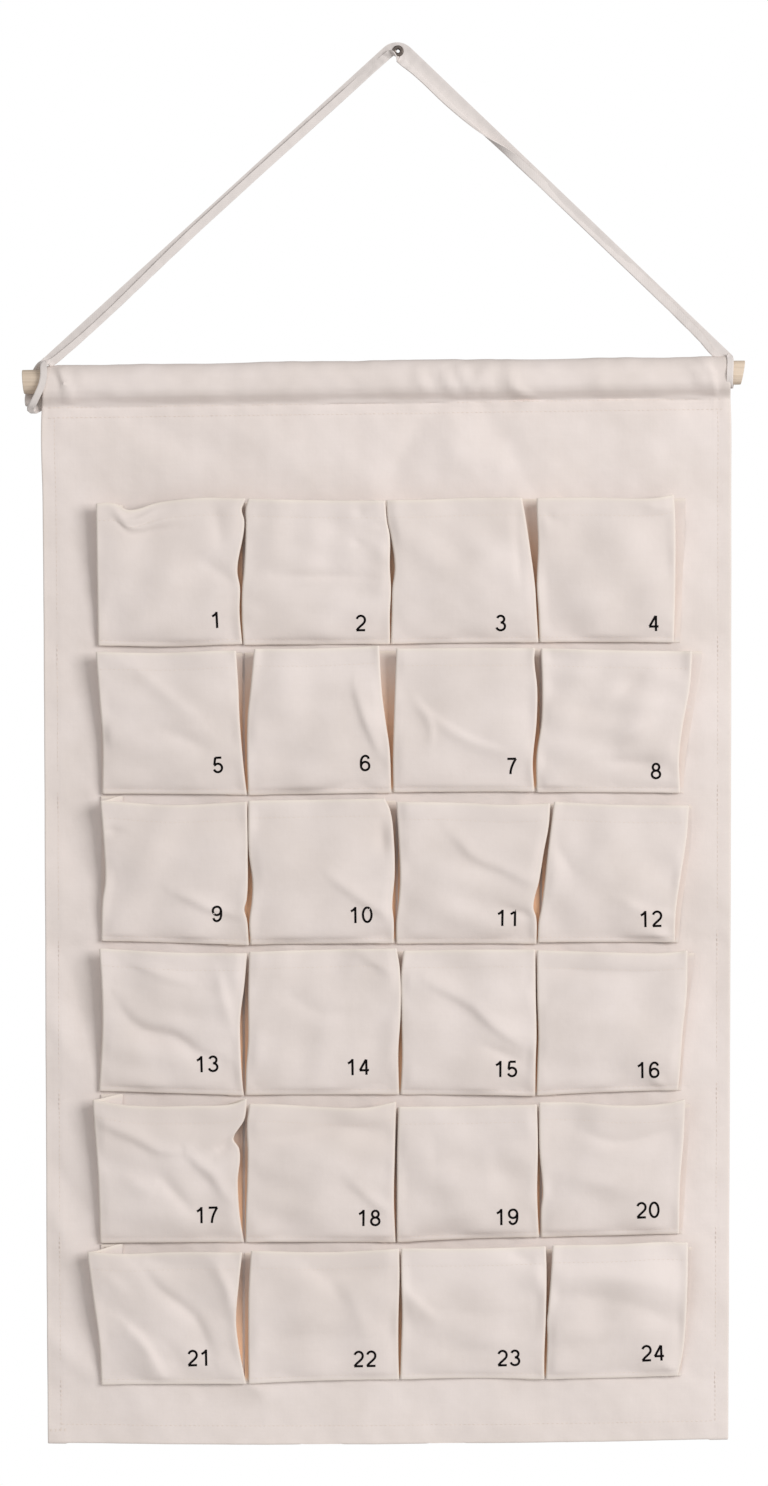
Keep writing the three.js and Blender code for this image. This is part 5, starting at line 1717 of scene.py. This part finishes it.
class CALENDAR_OT_eyelet(bpy.types.Operator):
    """Turn the metal eyelet in the strap's top"""
    bl_idname = "calendar.eyelet"
    bl_label = "Eyelet"

    def execute(self, context):
        _, colours = settings(context)
        half = [(1.35, 0.0), (1.3, 0.9), (1.6, 1.35), (2.4, 1.62), (2.9, 1.5), (3.3, 1.62), (3.8, 1.55),
                (4.12, 1.2), (4.15, 0.85), (3.9, 0.72), (3.2, 0.7), (2.55, 0.62), (2.45, 0.0)]
        profile = half + [(r, -y) for r, y in reversed(half[1:-1])]
        deselect()
        bpy.ops.mesh.primitive_circle_add(vertices=len(profile), radius=1.0, fill_type="NOTHING")
        eyelet = context.object
        eyelet.name = "eyelet_metal"
        for vertex, (r, y) in zip(eyelet.data.vertices, profile):
            vertex.co = (r * MM, y * MM, 0)
        bpy.ops.object.mode_set(mode="EDIT")
        bpy.ops.mesh.select_all(action="SELECT")
        bpy.ops.mesh.spin(steps=72, angle=2 * math.pi, center=(0, 0, 0), axis=(0, 1, 0))
        bpy.ops.mesh.select_all(action="SELECT")
        bpy.ops.mesh.remove_doubles(threshold=0.00001)
        bpy.ops.mesh.normals_make_consistent(inside=False)
        bpy.ops.object.mode_set(mode="OBJECT")
        eyelet.location = (0, -0.0006, 0)
        bpy.ops.object.transform_apply(location=True, rotation=True, scale=True)
        bpy.ops.object.shade_smooth_by_angle(angle=math.radians(60))
        eyelet.data.materials.append(metal_finish(colours))
        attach(eyelet, "strap")
        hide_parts("hanging_eyelet")
        deselect()
        return {"FINISHED"}


OPERATORS = (
    CALENDAR_OT_stage, CALENDAR_OT_dowel, CALENDAR_OT_backing, CALENDAR_OT_pockets,
    CALENDAR_OT_strap, CALENDAR_OT_eyelet,
)


class CALENDAR_PT_panel(bpy.types.Panel):
    """Sizes, colours and the steps of the calendar"""
    bl_label = "Pocket Calendar"
    bl_idname = "CALENDAR_PT_panel"
    bl_space_type = "VIEW_3D"
    bl_region_type = "UI"
    bl_category = "Calendar"

    def draw(self, context):
        for group in (context.scene.calendar_sizes, context.scene.calendar_colours):
            box = self.layout.box()
            for name in type(group).__annotations__:
                box.prop(group, name)
        for operator in OPERATORS:
            self.layout.operator(operator.bl_idname)


CLASSES = (CalendarSizes, CalendarColours, *OPERATORS, CALENDAR_PT_panel)


def register():
    for kind in CLASSES:
        bpy.utils.register_class(kind)
    bpy.types.Scene.calendar_sizes = PointerProperty(type=CalendarSizes)
    bpy.types.Scene.calendar_colours = PointerProperty(type=CalendarColours)


def unregister():
    del bpy.types.Scene.calendar_colours
    del bpy.types.Scene.calendar_sizes
    for kind in reversed(CLASSES):
        bpy.utils.unregister_class(kind)


def main():
    register()
    bpy.ops.calendar.stage()
    bpy.ops.calendar.dowel()
    bpy.ops.calendar.backing()
    bpy.ops.calendar.pockets()
    bpy.ops.calendar.strap()
    bpy.ops.calendar.eyelet()


if __name__ == "__main__":
    main()
